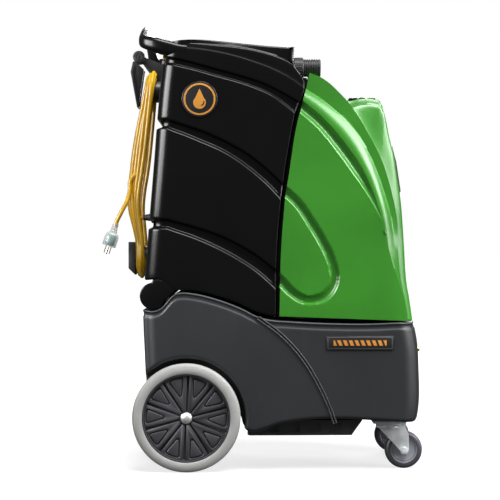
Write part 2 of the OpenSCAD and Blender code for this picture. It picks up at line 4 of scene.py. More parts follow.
import bpy
import numpy as np
from mathutils import Vector
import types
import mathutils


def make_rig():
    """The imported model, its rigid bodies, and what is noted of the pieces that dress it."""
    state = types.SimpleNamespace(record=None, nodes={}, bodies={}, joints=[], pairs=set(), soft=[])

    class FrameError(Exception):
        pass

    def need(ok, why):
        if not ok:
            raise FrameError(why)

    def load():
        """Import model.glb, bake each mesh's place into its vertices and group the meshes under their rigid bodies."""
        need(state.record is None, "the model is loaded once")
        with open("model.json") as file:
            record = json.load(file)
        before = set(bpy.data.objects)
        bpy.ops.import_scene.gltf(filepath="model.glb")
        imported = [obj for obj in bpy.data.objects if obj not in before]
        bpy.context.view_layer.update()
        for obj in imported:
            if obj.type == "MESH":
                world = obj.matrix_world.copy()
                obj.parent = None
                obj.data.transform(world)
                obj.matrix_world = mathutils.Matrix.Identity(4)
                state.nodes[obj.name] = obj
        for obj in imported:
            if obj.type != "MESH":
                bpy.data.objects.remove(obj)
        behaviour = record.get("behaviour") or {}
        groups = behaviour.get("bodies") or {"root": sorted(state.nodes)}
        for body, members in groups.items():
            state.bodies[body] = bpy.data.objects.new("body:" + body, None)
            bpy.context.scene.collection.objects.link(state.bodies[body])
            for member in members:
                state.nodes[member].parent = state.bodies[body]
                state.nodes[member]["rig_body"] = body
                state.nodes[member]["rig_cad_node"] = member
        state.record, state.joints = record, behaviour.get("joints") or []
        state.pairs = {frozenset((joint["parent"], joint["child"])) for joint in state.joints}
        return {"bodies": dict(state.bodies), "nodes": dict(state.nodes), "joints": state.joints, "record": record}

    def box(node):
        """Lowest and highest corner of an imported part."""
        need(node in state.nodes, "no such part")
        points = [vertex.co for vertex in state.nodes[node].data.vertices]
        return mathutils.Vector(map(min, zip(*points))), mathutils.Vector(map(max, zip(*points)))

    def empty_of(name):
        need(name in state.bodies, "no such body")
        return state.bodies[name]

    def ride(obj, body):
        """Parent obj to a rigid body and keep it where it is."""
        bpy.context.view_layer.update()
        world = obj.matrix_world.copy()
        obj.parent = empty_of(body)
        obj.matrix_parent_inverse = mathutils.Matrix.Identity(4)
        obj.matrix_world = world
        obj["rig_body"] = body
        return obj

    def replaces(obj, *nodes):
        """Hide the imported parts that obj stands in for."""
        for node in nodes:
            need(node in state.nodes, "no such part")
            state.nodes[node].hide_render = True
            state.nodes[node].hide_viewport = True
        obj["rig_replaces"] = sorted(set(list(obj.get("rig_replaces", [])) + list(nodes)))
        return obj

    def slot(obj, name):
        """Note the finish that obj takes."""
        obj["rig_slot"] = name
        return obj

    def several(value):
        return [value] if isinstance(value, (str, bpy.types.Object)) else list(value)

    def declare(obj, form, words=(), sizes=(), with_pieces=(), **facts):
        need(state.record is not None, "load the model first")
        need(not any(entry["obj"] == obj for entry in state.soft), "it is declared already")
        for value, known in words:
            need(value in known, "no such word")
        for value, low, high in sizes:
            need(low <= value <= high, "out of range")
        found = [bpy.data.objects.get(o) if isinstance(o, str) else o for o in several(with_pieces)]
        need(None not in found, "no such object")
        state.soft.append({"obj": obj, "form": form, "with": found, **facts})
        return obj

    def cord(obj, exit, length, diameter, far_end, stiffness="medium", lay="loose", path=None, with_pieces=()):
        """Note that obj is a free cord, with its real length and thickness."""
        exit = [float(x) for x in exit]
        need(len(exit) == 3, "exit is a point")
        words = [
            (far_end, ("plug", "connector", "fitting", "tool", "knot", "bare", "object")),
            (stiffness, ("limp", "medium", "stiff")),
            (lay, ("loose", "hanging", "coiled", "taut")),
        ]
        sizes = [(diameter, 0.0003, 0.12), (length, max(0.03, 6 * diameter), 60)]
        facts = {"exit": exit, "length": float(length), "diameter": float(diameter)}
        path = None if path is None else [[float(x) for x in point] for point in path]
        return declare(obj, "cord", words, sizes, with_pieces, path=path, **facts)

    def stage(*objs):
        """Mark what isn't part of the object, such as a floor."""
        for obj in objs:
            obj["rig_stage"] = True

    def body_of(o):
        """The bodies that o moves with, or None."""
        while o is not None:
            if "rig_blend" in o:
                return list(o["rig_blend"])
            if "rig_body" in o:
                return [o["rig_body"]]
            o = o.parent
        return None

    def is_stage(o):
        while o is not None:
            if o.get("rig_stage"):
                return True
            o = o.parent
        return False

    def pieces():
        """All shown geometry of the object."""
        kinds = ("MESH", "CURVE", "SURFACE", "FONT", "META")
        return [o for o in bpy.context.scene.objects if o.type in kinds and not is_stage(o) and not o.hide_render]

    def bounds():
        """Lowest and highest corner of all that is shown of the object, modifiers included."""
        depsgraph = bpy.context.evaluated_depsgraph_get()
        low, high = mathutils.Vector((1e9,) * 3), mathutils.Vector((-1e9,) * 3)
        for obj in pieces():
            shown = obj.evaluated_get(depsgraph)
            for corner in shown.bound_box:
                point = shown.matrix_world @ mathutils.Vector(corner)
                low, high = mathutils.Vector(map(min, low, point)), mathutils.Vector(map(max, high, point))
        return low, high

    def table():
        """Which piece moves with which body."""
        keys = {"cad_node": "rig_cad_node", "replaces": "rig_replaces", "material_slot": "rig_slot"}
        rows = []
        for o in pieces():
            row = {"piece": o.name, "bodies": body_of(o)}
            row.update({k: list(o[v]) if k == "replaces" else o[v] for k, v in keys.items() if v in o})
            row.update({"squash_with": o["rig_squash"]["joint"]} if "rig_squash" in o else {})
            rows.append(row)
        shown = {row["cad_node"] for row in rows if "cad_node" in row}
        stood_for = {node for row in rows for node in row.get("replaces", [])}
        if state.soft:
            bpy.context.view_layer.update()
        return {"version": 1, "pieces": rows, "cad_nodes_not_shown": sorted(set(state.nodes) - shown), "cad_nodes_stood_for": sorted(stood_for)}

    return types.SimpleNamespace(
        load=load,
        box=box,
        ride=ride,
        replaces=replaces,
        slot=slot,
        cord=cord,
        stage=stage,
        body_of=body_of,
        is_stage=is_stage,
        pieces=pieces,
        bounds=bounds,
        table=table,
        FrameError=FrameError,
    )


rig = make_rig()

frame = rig.load()
cad_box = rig.bounds()
MM = 0.001
SLOTS = {row["node"]: row["material_slot"] for row in frame["record"]["subparts"]}
BODY_OF = {node: body for body, nodes in frame["record"]["behaviour"]["bodies"].items() for node in nodes}

# Driving places, in millimetres
HALF_W = 212.0
AXLE = (-205.0, 127.0)
ARCH_R = 138.0
WHEEL_FACE = 225.0
PANEL = (215.0, 885.0)  # middle of the control panel, x and z
DIAL_Y = 72.0
MOUTH = (-103.0, 0.0, 1006.0)
TANK_TILT = 3.9  # slope of the tank's top, in degrees
INLET_Z = 972.0
INLET_R = 19.05
COVER_WALL = 3.6
PANEL_HALF = 106.0
SHOULDER_HALF = 138.0
HINGE = (-283.0, 412.0)
LOBE_R = 31.6
CORD_D = 10.5
HOOK_TOP_Z = 913.0
HOOK_LOW_Z = 502.0


# ---------------------------------------------------------------- shader maths

class Val:
    """One shader value: arithmetic on it adds Math nodes."""

    def __init__(self, sheet, socket):
        self.sheet, self.socket = sheet, socket

    def _op(self, operation, a, b=0.0):
        return self.sheet.node("ShaderNodeMath", {"operation": operation}, {0: a, 1: b})

    def __add__(self, other):
        return self._op("ADD", self, other)

    def __sub__(self, other):
        return self._op("SUBTRACT", self, other)

    def __rsub__(self, other):
        return self._op("SUBTRACT", other, self)

    def __mul__(self, other):
        return self._op("MULTIPLY", self, other)

    def __truediv__(self, other):
        return self._op("DIVIDE", self, other)

    def __gt__(self, other):
        return self._op("GREATER_THAN", self, other)

    def __lt__(self, other):
        return self._op("LESS_THAN", self, other)

    def __pow__(self, other):
        return self._op("POWER", self, other)

    __radd__, __rmul__ = __add__, __mul__

    def fract(self):
        return self._op("FRACT", self)

    def size(self):
        return self._op("ABSOLUTE", self)


class Sheet:
    """One material: its principled shader and the nodes that feed it."""

    def __init__(self, name, color, rough, **constants):
        self.material = bpy.data.materials.new(name)
        self.material.use_nodes = True
        self.tree = self.material.node_tree
        self.shader = self.tree.nodes["Principled BSDF"]
        self.set("Base Color", (*color, 1.0))
        self.set("Roughness", rough)
        for name_, value in constants.items():
            self.set(name_.replace("_", " "), value)
        self.place = self.node("ShaderNodeTexCoord", {}, {}, "Object")

    def set(self, socket, value):
        if isinstance(value, Val):
            self.tree.links.new(value.socket, self.shader.inputs[socket])
        else:
            self.shader.inputs[socket].default_value = value

    def node(self, kind, settings, inputs, out=0):
        made = self.tree.nodes.new(kind)
        for key, value in settings.items():
            setattr(made, key, value)
        for key, value in inputs.items():
            if isinstance(value, Val):
                self.tree.links.new(value.socket, made.inputs[key])
            else:
                made.inputs[key].default_value = value
        return Val(self, made.outputs[out])

    def noise(self, scale, detail=2.0, stretch=None):
        """Noise from 0 to 1, with scale in features per metre."""
        vector = self.place
        if stretch:
            vector = self.node("ShaderNodeMapping", {}, {0: vector, 3: stretch})
        return self.node("ShaderNodeTexNoise", {}, {"Vector": vector, "Scale": scale, "Detail": detail})

    def steps(self, value, low, high):
        """value carried to 0 below low and 1 above high, smoothly."""
        return self.node("ShaderNodeMapRange", {"interpolation_type": "SMOOTHSTEP"},
                         {0: value, 1: low, 2: high, 3: 0.0, 4: 1.0})

    def blend(self, factor, a, b):
        """The colour a where factor is 0 and b where it is 1."""
        return self.node("ShaderNodeMix", {"data_type": "RGBA"},
                         {0: factor, 6: a, 7: b}, 2)

    def axis(self, index):
        return self.node("ShaderNodeSeparateXYZ", {}, {0: self.place}, index)

    def bump(self, height, strength, distance):
        self.set("Normal", self.node("ShaderNodeBump", {}, {"Strength": strength, "Distance": distance,
                                                            "Height": height}))


def tint(color, k):
    return (min(1.0, color[0] * k), min(1.0, color[1] * k), min(1.0, color[2] * k), 1.0)


def moulded(name, color, rough, grain=1500.0, depth=0.00012, wear=0.0, **constants):
    """Moulded plastic: fine pebble grain, soft colour drift, faint handling marks."""
    s = Sheet(name, color, rough, **constants)
    drift = s.noise(5.0, 3.0)
    pebble = s.noise(grain, 2.0)
    rubs = s.steps(s.noise(34.0, 6.0, stretch=(1.0, 1.0, 0.12)), 0.56, 0.74)
    base = s.blend(s.steps(drift, 0.3, 0.7), tint(color, 0.88), tint(color, 1.1))
    s.set("Base Color", s.blend(rubs * wear, base, tint(color, 2.2)))
    s.set("Roughness", rough * (0.9 + 0.14 * drift + 0.12 * pebble) + 0.1 * rubs * wear)
    s.bump(pebble + 0.25 * s.noise(grain * 0.22, 2.0), 0.35, depth)
    return s.material


def metal(name, color, rough, lines=(1.0, 1.0, 1.0), scale=700.0, metallic=1.0):
    """Bare or plated metal, with drawn or turned lines along one direction."""
    s = Sheet(name, color, rough, Metallic=metallic)
    grain = s.noise(scale, 3.0, stretch=lines)
    cloud = s.noise(38.0, 4.0)
    s.set("Base Color", s.blend(s.steps(cloud, 0.35, 0.7), tint(color, 0.86), tint(color, 1.06)))
    s.set("Roughness", rough * (0.75 + 0.5 * cloud) + 0.06 * grain)
    s.bump(grain, 0.2, 0.00005)
    return s.material


def painted(name, color, rough):
    """Powder coat over steel, with an orange-peel skin."""
    s = Sheet(name, color, rough, Coat_Weight=0.15)
    peel = s.noise(420.0, 2.0)
    s.set("Base Color", s.blend(s.noise(9.0, 3.0), tint(color, 0.85), tint(color, 1.15)))
    s.set("Roughness", rough * (0.85 + 0.3 * peel))
    s.bump(peel + 0.3 * s.noise(2600.0), 0.3, 0.00015)
    return s.material


def rubber(name, color, rough, dust=0.25):
    """Tyre rubber with a dusty bloom."""
    s = Sheet(name, color, rough)
    cloud = s.steps(s.noise(26.0, 6.0), 0.4, 0.75)
    fine = s.noise(1900.0, 2.0)
    s.set("Base Color", s.blend(cloud * dust, (*color, 1.0), tint(color, 1.5)))
    s.set("Roughness", rough * (0.9 + 0.2 * fine))
    s.bump(fine + s.noise(300.0), 0.3, 0.0002)
    return s.material


def cord_vinyl():
    """Yellow cord jacket: satin vinyl with faint scuffs."""
    color = (0.93, 0.53, 0.006)
    s = Sheet("cord_yellow", color, 0.38, Specular_IOR_Level=0.5)
    scuff = s.steps(s.noise(90.0, 5.0), 0.52, 0.75)
    s.set("Base Color", s.blend(scuff * 0.35, (*color, 1.0), (0.62, 0.36, 0.02, 1.0)))
    s.set("Roughness", 0.34 + 0.2 * scuff)
    s.bump(s.noise(700.0, 2.0), 0.15, 0.0001)
    return s.material


def clear_vinyl():
    """Clear plug moulding, kept simple: pale and mostly see-through."""
    color = (0.80, 0.86, 0.84)
    s = Sheet("plug_clear", color, 0.12, IOR=1.46, Coat_Weight=0.3)
    cloud = s.noise(60.0, 3.0)
    s.set("Alpha", 0.42 + 0.2 * cloud)
    s.set("Roughness", 0.1 + 0.08 * cloud)
    return s.material


def plate_pattern():
    """Dark plate with a grey frame line and a row of orange dashes."""
    black = (0.012, 0.012, 0.013, 1.0)
    orange = (0.80, 0.30, 0.03, 1.0)
    low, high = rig.box("nameplate")
    s = Sheet("nameplate_print", black[:3], 0.35, Coat_Weight=0.4)
    across = s.axis("X") - (low.x + high.x) / 2
    up = s.axis("Z") - (low.z + high.z) / 2
    half_x, half_z = (high.x - low.x) / 2, (high.z - low.z) / 2
    edge_x, edge_z = half_x - across.size(), half_z - up.size()
    inner = (edge_x > 0.0035) * (edge_z > 0.0035)
    outer = (edge_x > 0.0022) * (edge_z > 0.0022)
    dash = ((((across + 0.4 * up) / 0.0135).fract() - 0.5).size() < 0.3) * (up.size() < 0.0062)
    dash = dash * (across.size() < 0.062)
    mask = (outer - inner) + dash
    s.set("Base Color", s.blend(dash, s.blend(outer - inner, black, (0.10, 0.10, 0.105, 1.0)), orange))
    s.set("Roughness", 0.3 + 0.12 * s.noise(300.0) + 0.1 * mask)
    s.bump(mask * 1.0 + 0.1 * s.noise(1500.0), 0.2, 0.0002)
    return s.material


def water_mark(center):
    """A generic orange mark: a ring round a drop, on black."""
    black, orange = (0.010, 0.010, 0.012, 1.0), (0.83, 0.34, 0.03, 1.0)
    s = Sheet("badge_print", black[:3], 0.3, Coat_Weight=0.3)
    across = (s.axis("X") - center[0]) / 0.041
    up = (s.axis("Z") - center[1]) / 0.041
    band = ((across ** 2.0 + up ** 2.0) ** 0.5 - 0.86).size() < 0.05
    bowl = ((across ** 2.0 + (up + 0.2) ** 2.0) ** 0.5) < 0.36
    point = (across.size() < (0.60 - up) * 0.46) * (up > -0.02) * (up < 0.60)
    glint = (((across - 0.05) ** 2.0 + (up + 0.17) ** 2.0) ** 0.5 - 0.2).size() < 0.035
    drops = ((bowl + point) > 0.5) - glint * (across > 0.08) * (up < -0.1)
    mask = band + drops
    s.set("Base Color", s.blend(mask, black, orange))
    s.set("Roughness", 0.28 + 0.1 * s.noise(400.0) + 0.1 * mask)
    s.bump(mask + 0.1 * s.noise(1500.0), 0.25, 0.0002)
    return s.material


def dial_face(center):
    """White dial with a ring of ticks."""
    s = Sheet("dial_print", (0.8, 0.8, 0.78), 0.3, Coat_Weight=0.6)
    across, along = s.axis("X") - center[0], s.axis("Y") - center[1]
    ring = (across ** 2.0 + along ** 2.0) ** 0.5
    turn = s.node("ShaderNodeMath", {"operation": "ARCTAN2"}, {0: along, 1: across})
    ticks = (((turn * (20.0 / math.tau)).fract() - 0.5).size() < 0.12) * ((ring - 0.0145).size() < 0.0018)
    s.set("Base Color", s.blend(ticks, (0.8, 0.8, 0.78, 1.0), (0.02, 0.02, 0.02, 1.0)))
    s.set("Roughness", 0.25 + 0.1 * s.noise(200.0))
    return s.material


MAT = {
    "base_plastic": moulded("base_grey", (0.0140, 0.0155, 0.0190), 0.46, 1500, 0.00014, 0.12),
    "skid_plastic": moulded("skid_black", (0.045, 0.046, 0.050), 0.55, 1300, 0.00016, 0.15),
    "tank_plastic": moulded("tank_black", (0.0030, 0.0031, 0.0036), 0.25, 1700, 0.00008, 0.04,
                            Specular_IOR_Level=0.28),
    "cover_plastic": moulded("cover_green", (0.046, 0.290, 0.020), 0.29, 1600, 0.0001, 0.0,
                             Specular_IOR_Level=0.6),
    "panel_plastic": moulded("panel_black", (0.018, 0.018, 0.020), 0.5, 1500, 0.00014, 0.1),
    "gauge_metal": metal("gauge_chrome", (0.78, 0.79, 0.80), 0.16),
    "steel": metal("turned_steel", (0.56, 0.57, 0.59), 0.3, (1.0, 0.06, 1.0)),
    "cap_metal": metal("hub_cap_metal", (0.80, 0.78, 0.76), 0.3, metallic=0.5),
    "frame_paint": painted("bracket_paint", (0.085, 0.09, 0.095), 0.45),
    "zinc": metal("zinc_plate", (0.90, 0.93, 0.95), 0.45, scale=260.0, metallic=0.12),
    "motor_paint": painted("motor_paint", (0.055, 0.06, 0.07), 0.4),
    "heater_metal": metal("heater_aluminium", (0.6, 0.61, 0.63), 0.38, (0.1, 1.0, 1.0)),
    "box_plastic": moulded("box_grey", (0.52, 0.52, 0.49), 0.5),
    "copper": metal("copper_pipe", (0.72, 0.36, 0.2), 0.28, (0.2, 0.2, 1.0)),
    "brass": metal("turned_brass", (0.68, 0.48, 0.2), 0.24),
    "pipe_plastic": moulded("pipe_white", (0.66, 0.67, 0.68), 0.42),
    "float_plastic": moulded("float_orange", (0.75, 0.36, 0.04), 0.4),
    "valve_plastic": moulded("valve_grey", (0.12, 0.125, 0.13), 0.45),
    "handle_plastic": moulded("switch_red", (0.38, 0.018, 0.018), 0.38),
    "hook_paint": painted("hook_paint", (0.012, 0.012, 0.014), 0.42),
    "cord_jacket": cord_vinyl(),
    "plug_clear": clear_vinyl(),
    "blade_brass": metal("blade_plate", (0.75, 0.66, 0.45), 0.25),
    "cap_plastic": moulded("cap_blue", (0.02, 0.1, 0.34), 0.42),
    "rim_plastic": moulded("rim_grey", (0.045, 0.045, 0.053), 0.42, 1300, 0.00014, 0.2),
    "tyre_grey": rubber("tyre_grey", (0.40, 0.40, 0.39), 0.62),
    "caster_core_plastic": moulded("caster_grey", (0.33, 0.34, 0.38), 0.4),
    "caster_tread": rubber("caster_tread", (0.060, 0.055, 0.070), 0.5, 0.3),
    "plate_orange": plate_pattern(),
    "badge_orange": water_mark((-0.174, 0.873)),
    "dial": dial_face((PANEL[0] * MM, -DIAL_Y * MM)),
    "teal": moulded("indicator_teal", (0.02, 0.36, 0.34), 0.3),
}


# ---------------------------------------------------------------- mesh helpers

def only(obj):
    """Leaves obj as the one selected, active object."""
    bpy.ops.object.select_all(action="DESELECT")
    obj.select_set(True)
    bpy.context.view_layer.objects.active = obj
    return obj


def from_arrays(name, verts, faces):
    """A mesh piece from points in millimetres and faces."""
    mesh = bpy.data.meshes.new(name)
    mesh.from_pydata([tuple(v) for v in np.asarray(verts, float) * MM], [], faces)
    obj = bpy.data.objects.new(name, mesh)
    bpy.context.scene.collection.objects.link(obj)
    return only(obj)


def edit(obj, work, *args, **kwargs):
    """Runs one edit-mode operator on all of obj."""
    only(obj)
    bpy.ops.object.mode_set(mode="EDIT")
    bpy.ops.mesh.select_all(action="SELECT")
    work(*args, **kwargs)
    bpy.ops.object.mode_set(mode="OBJECT")
    return obj


def merge(obj, gap=1e-5):
    return edit(obj, bpy.ops.mesh.remove_doubles, threshold=gap)


def outward(obj):
    return edit(obj, bpy.ops.mesh.normals_make_consistent, inside=False)


def modify(obj, kind, **settings):
    """Adds a modifier with these settings and applies it."""
    only(obj)
    mod = obj.modifiers.new(kind, kind)
    for key, value in settings.items():
        setattr(mod, key, value)
    bpy.ops.object.modifier_apply(modifier=mod.name)
    return obj


def bevel(obj, width, segments=3, angle=30.0):
    return modify(obj, "BEVEL", width=width * MM, segments=segments, limit_method="ANGLE",
                  angle_limit=math.radians(angle), harden_normals=False)


def smooth(obj, angle=40.0):
    only(obj)
    bpy.ops.object.shade_smooth_by_angle(angle=math.radians(angle))
    return obj


def place(obj):
    """Carries the object's place into its mesh."""
    only(obj)
    bpy.ops.object.transform_apply(location=True, rotation=True, scale=True)
    return obj


def joined(name, objs):
    bpy.ops.object.select_all(action="DESELECT")
    for o in objs:
        o.select_set(True)
    bpy.context.view_layer.objects.active = objs[0]
    if len(objs) > 1:
        bpy.ops.object.join()
    objs[0].name = name
    return objs[0]


def cut(obj, tool):
    """Takes the closed shape tool out of obj."""
    modify(obj, "BOOLEAN", operation="DIFFERENCE", object=tool, solver="FAST")
    bpy.data.objects.remove(tool)
    return obj


def done(obj, body, slot, *nodes, material=None):
    """Gives a finished piece its material, slot and body, and the CAD nodes that it stands for."""
    obj.data.materials.clear()
    obj.data.materials.append(MAT[material or slot])
    for poly in obj.data.polygons:
        poly.material_index = 0
    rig.ride(obj, body)
    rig.slot(obj, slot)
    if nodes:
        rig.replaces(obj, *nodes)
    return obj


def rod(name, start, end, radius, segments=64):
    """A cylinder from start to end, in millimetres."""
    a, b = Vector(start) * MM, Vector(end) * MM
    bpy.ops.object.select_all(action="DESELECT")
    bpy.ops.mesh.primitive_cylinder_add(vertices=segments, radius=radius * MM, depth=(b - a).length,
                                        location=(a + b) / 2,
                                        rotation=(b - a).to_track_quat("Z", "Y").to_euler())
    obj = bpy.context.object
    obj.name = name
    return place(obj)


def block(name, low, high):
    """A cuboid between two corners, in millimetres."""
    low, high = Vector(low) * MM, Vector(high) * MM
    bpy.ops.object.select_all(action="DESELECT")
    bpy.ops.mesh.primitive_cube_add(size=1.0, location=(low + high) / 2)
    obj = bpy.context.object
    obj.name = name
    obj.scale = high - low
    return place(obj)


def slab(name, outline, low_y, high_y):
    """A side outline of X and Z, extruded across from low_y to high_y."""
    obj = from_arrays(name, [(x, low_y, z) for x, z in outline], [list(range(len(outline)))])
    edit(obj, bpy.ops.mesh.extrude_region_move,
         TRANSFORM_OT_translate={"value": (0, (high_y - low_y) * MM, 0)})
    return outward(obj)


def turned(name, profile, center, axis, steps=96):
    """A profile of (radius, along) points spun round an axis through center, in millimetres."""
    frames = {"X": ((0, 1, 0), (1, 0, 0)), "Y": ((1, 0, 0), (0, 1, 0)), "Z": ((1, 0, 0), (0, 0, 1))}
    out, along = (Vector(v) for v in frames[axis])
    c = Vector(center)
    closed = profile[0] == profile[-1]
    points = profile[:-1] if closed else profile
    count = len(points)
    edges = [(i, i + 1) for i in range(count - 1)] + ([(count - 1, 0)] if closed else [])
    mesh = bpy.data.meshes.new(name)
    mesh.from_pydata([tuple((c + out * r + along * a) * MM) for r, a in points], edges, [])
    obj = bpy.data.objects.new(name, mesh)
    bpy.context.scene.collection.objects.link(obj)
    edit(obj, bpy.ops.mesh.spin, steps=steps, angle=math.tau, center=tuple(c * MM), axis=tuple(along))
    merge(obj, 2e-6)
    return outward(obj)


def turned_piece(name, body, slot, node, profile, center, axis, steps, angle=35.0, material=None):
    """A turned part that is a finished piece by itself."""
    obj = smooth(turned(name, profile, center, axis, steps), angle)
    return done(obj, body, slot, *([node] if node else []), material=material)


def refined(node, width=0.6, segments=2, material=None):
    """A copy of a CAD node with welded faces and rounded edges, which stands for it."""
    source = next(o for o in bpy.data.objects if o.name == frame["nodes"][node].name)
    obj = bpy.data.objects.new(node + "_finish", source.data.copy())
    bpy.context.scene.collection.objects.link(obj)
    merge(obj, 2e-6)
    edit(obj, bpy.ops.mesh.dissolve_limited, angle_limit=math.radians(1.0))
    if width:
        bevel(obj, width, segments, 32.0)
    smooth(obj, 32.0)
    return done(obj, BODY_OF[node], SLOTS[node], node, material=material)


def through(points):
    """A smooth curve through (a, b) points: the b at each a."""
    a = np.array([p[0] for p in points], float)
    b = np.array([p[1] for p in points], float)
    slope = np.gradient(b, a) if len(a) > 2 else np.full(2, (b[1] - b[0]) / (a[1] - a[0]))

    def at(x):
        x = np.clip(np.asarray(x, float), a[0], a[-1])
        i = np.clip(np.searchsorted(a, x, side="right") - 1, 0, len(a) - 2)
        h = a[i + 1] - a[i]
        t = (x - a[i]) / h
        return ((2 * t ** 3 - 3 * t ** 2 + 1) * b[i] + (t ** 3 - 2 * t ** 2 + t) * h * slope[i]
                + (3 * t ** 2 - 2 * t ** 3) * b[i + 1] + (t ** 3 - t ** 2) * h * slope[i + 1])

    return at


def trace(points, count=240):
    """Points spread evenly along a smooth path through the given (x, z) points."""
    p = np.array(points, float)
    step = np.concatenate([[0], np.cumsum(np.hypot(*np.diff(p, axis=0).T))])
    t = np.linspace(0, step[-1], count)
    x, z = through(list(zip(step, p[:, 0]))), through(list(zip(step, p[:, 1])))
    return np.column_stack([x(t), z(t)])


def reach(x, z, path):
    """For each point, its distance to a traced path."""
    far = (x[..., None] - path[:, 0]) ** 2 + (z[..., None] - path[:, 1]) ** 2
    return np.sqrt(far.min(-1))


def ease(x, low, high):
    t = np.clip((x - low) / (high - low), 0, 1)
    return t * t * (3 - 2 * t)


class Plan:
    """Columns round a box with rounded corners: rear corner radius rr, front corner radius rf."""

    def __init__(self, half, rr, rf, n_side, n_front, n_rear, n_corner):
        rows = []  # weight of the rear x, offset of x, y, normal

        def side(sign, order):
            for u in order:
                rows.append(((1 - u), (1 - u) * rr - u * rf, sign * half, 0.0, sign))

        def corner(rear, sign, start, stop):
            r = rr if rear else rf
            for a in np.linspace(start, stop, n_corner + 2)[1:-1]:
                c, s = math.cos(a), math.sin(a)
                rows.append((1.0 if rear else 0.0, (r if rear else -r) + r * c,
                             sign * (half - r) + r * s, c, s))

        forward = np.linspace(0, 1, n_side)
        side(-1, forward)
        corner(False, -1, -math.pi / 2, 0)
        for y in np.linspace(-(half - rf), half - rf, n_front):
            rows.append((0.0, 0.0, y, 1.0, 0.0))
        corner(False, 1, 0, math.pi / 2)
        side(1, forward[::-1])
        corner(True, 1, math.pi / 2, math.pi)
        for y in np.linspace(half - rr, -(half - rr), n_rear):
            rows.append((1.0, 0.0, y, -1.0, 0.0))
        corner(True, -1, math.pi, 1.5 * math.pi)
        self.weight, self.offset, self.y, self.nx, self.ny = np.array(rows).T

    def x(self, rear, front):
        return self.weight * rear + (1 - self.weight) * front + self.offset


def wrapped(name, plan, rear, front, rings, skin, caps, middle):
    """A closed shell of rings, each a line z(x) and an inset, with caps drawn in to the middle.

    rear and front give the end faces' x at a height, and skin how far each point is moved out.
    """
    verts = []
    for line, inset in rings:
        x = plan.x(rear(600.0), front(600.0))
        for _ in range(4):
            z = line(x)
            x = plan.x(rear(z), front(z))
        out = skin(x, plan.y, z, plan.nx, plan.ny, inset)
        verts.append(np.column_stack([x + plan.nx * out, plan.y + plan.ny * out, z]))
    count = len(plan.y)

    def shrink(ring, line):
        made = []
        for k in np.linspace(1, 0.06, caps)[1:]:
            x, y = middle + (ring[:, 0] - middle) * k, ring[:, 1] * k
            made.append(np.column_stack([x, y, ring[:, 2] + (line(x) - line(ring[:, 0]))]))
        return made

    verts = shrink(verts[0], rings[0][0])[::-1] + verts + shrink(verts[-1], rings[-1][0])
    faces = []
    for i in range(len(verts) - 1):
        a, b = i * count, (i + 1) * count
        faces += [(a + j, a + (j + 1) % count, b + (j + 1) % count, b + j) for j in range(count)]
    last = (len(verts) - 1) * count
    flat = np.concatenate(verts)
    ends = np.array([flat[:count].mean(0), flat[last:].mean(0)])
    foot, peak = len(flat), len(flat) + 1
    faces += [(foot, (j + 1) % count, j) for j in range(count)]
    faces += [(peak, last + j, last + (j + 1) % count) for j in range(count)]
    return outward(from_arrays(name, np.concatenate([flat, ends]), faces))


def swept(name, path, across, up, segments=28, power=2.6):
    """A bar with a rounded-square section along points in millimetres, with domed ends.

    across and up are the section's half sizes, one for each point of the path.
    """
    p = np.array(path, float)
    t = np.gradient(p, axis=0)
    t /= np.linalg.norm(t, axis=1)[:, None]
    side = np.cross(t, (0, 0, 1.0))
    side /= np.linalg.norm(side, axis=1)[:, None]
    top = np.cross(side, t)
    angles = np.linspace(0, math.tau, segments, endpoint=False)
    c, s = np.cos(angles), np.sin(angles)
    k = (np.abs(c) ** power + np.abs(s) ** power) ** (-1 / power)
    verts, faces = [], []
    for i in range(len(p)):
        verts.append(p[i] + np.outer(c * k * across[i], side[i]) + np.outer(s * k * up[i], top[i]))
    for i in range(len(p) - 1):
        a, b = i * segments, (i + 1) * segments
        faces += [(a + j, a + (j + 1) % segments, b + (j + 1) % segments, b + j) for j in range(segments)]
    faces += [list(range(segments)), list(range((len(p) - 1) * segments, len(p) * segments))]
    return outward(from_arrays(name, np.concatenate(verts), faces))


# ---------------------------------------------------------------- camera, cord and plug

LENS = 102.0
EYE = (-0.056, -3.525, 0.520)  # metres


def camera():
    data = bpy.data.cameras.new("camera")
    data.lens, data.sensor_width = LENS, 36.0
    obj = bpy.data.objects.new("camera", data)
    obj.location = EYE
    obj.rotation_euler = (math.pi / 2, 0, 0)
    bpy.context.scene.collection.objects.link(obj)
    bpy.context.scene.camera = obj


LEAD = [(-320, -38, 600), (-327, -38, 598), (-332, -37.5, 589), (-333, -36.5, 572), (-330, -35, 552),
        (-326, -34, 530)]
TAIL = [(-350, -44, 690), (-351, -47, 668), (-354, -54, 650), (-359, -62, 634), (-366, -67, 620),
        (-373, -69.5, 606), (-380, -70, 592), (-385, -70, 577)]
PLUG_TILT = math.radians(18)
TURNS = 7


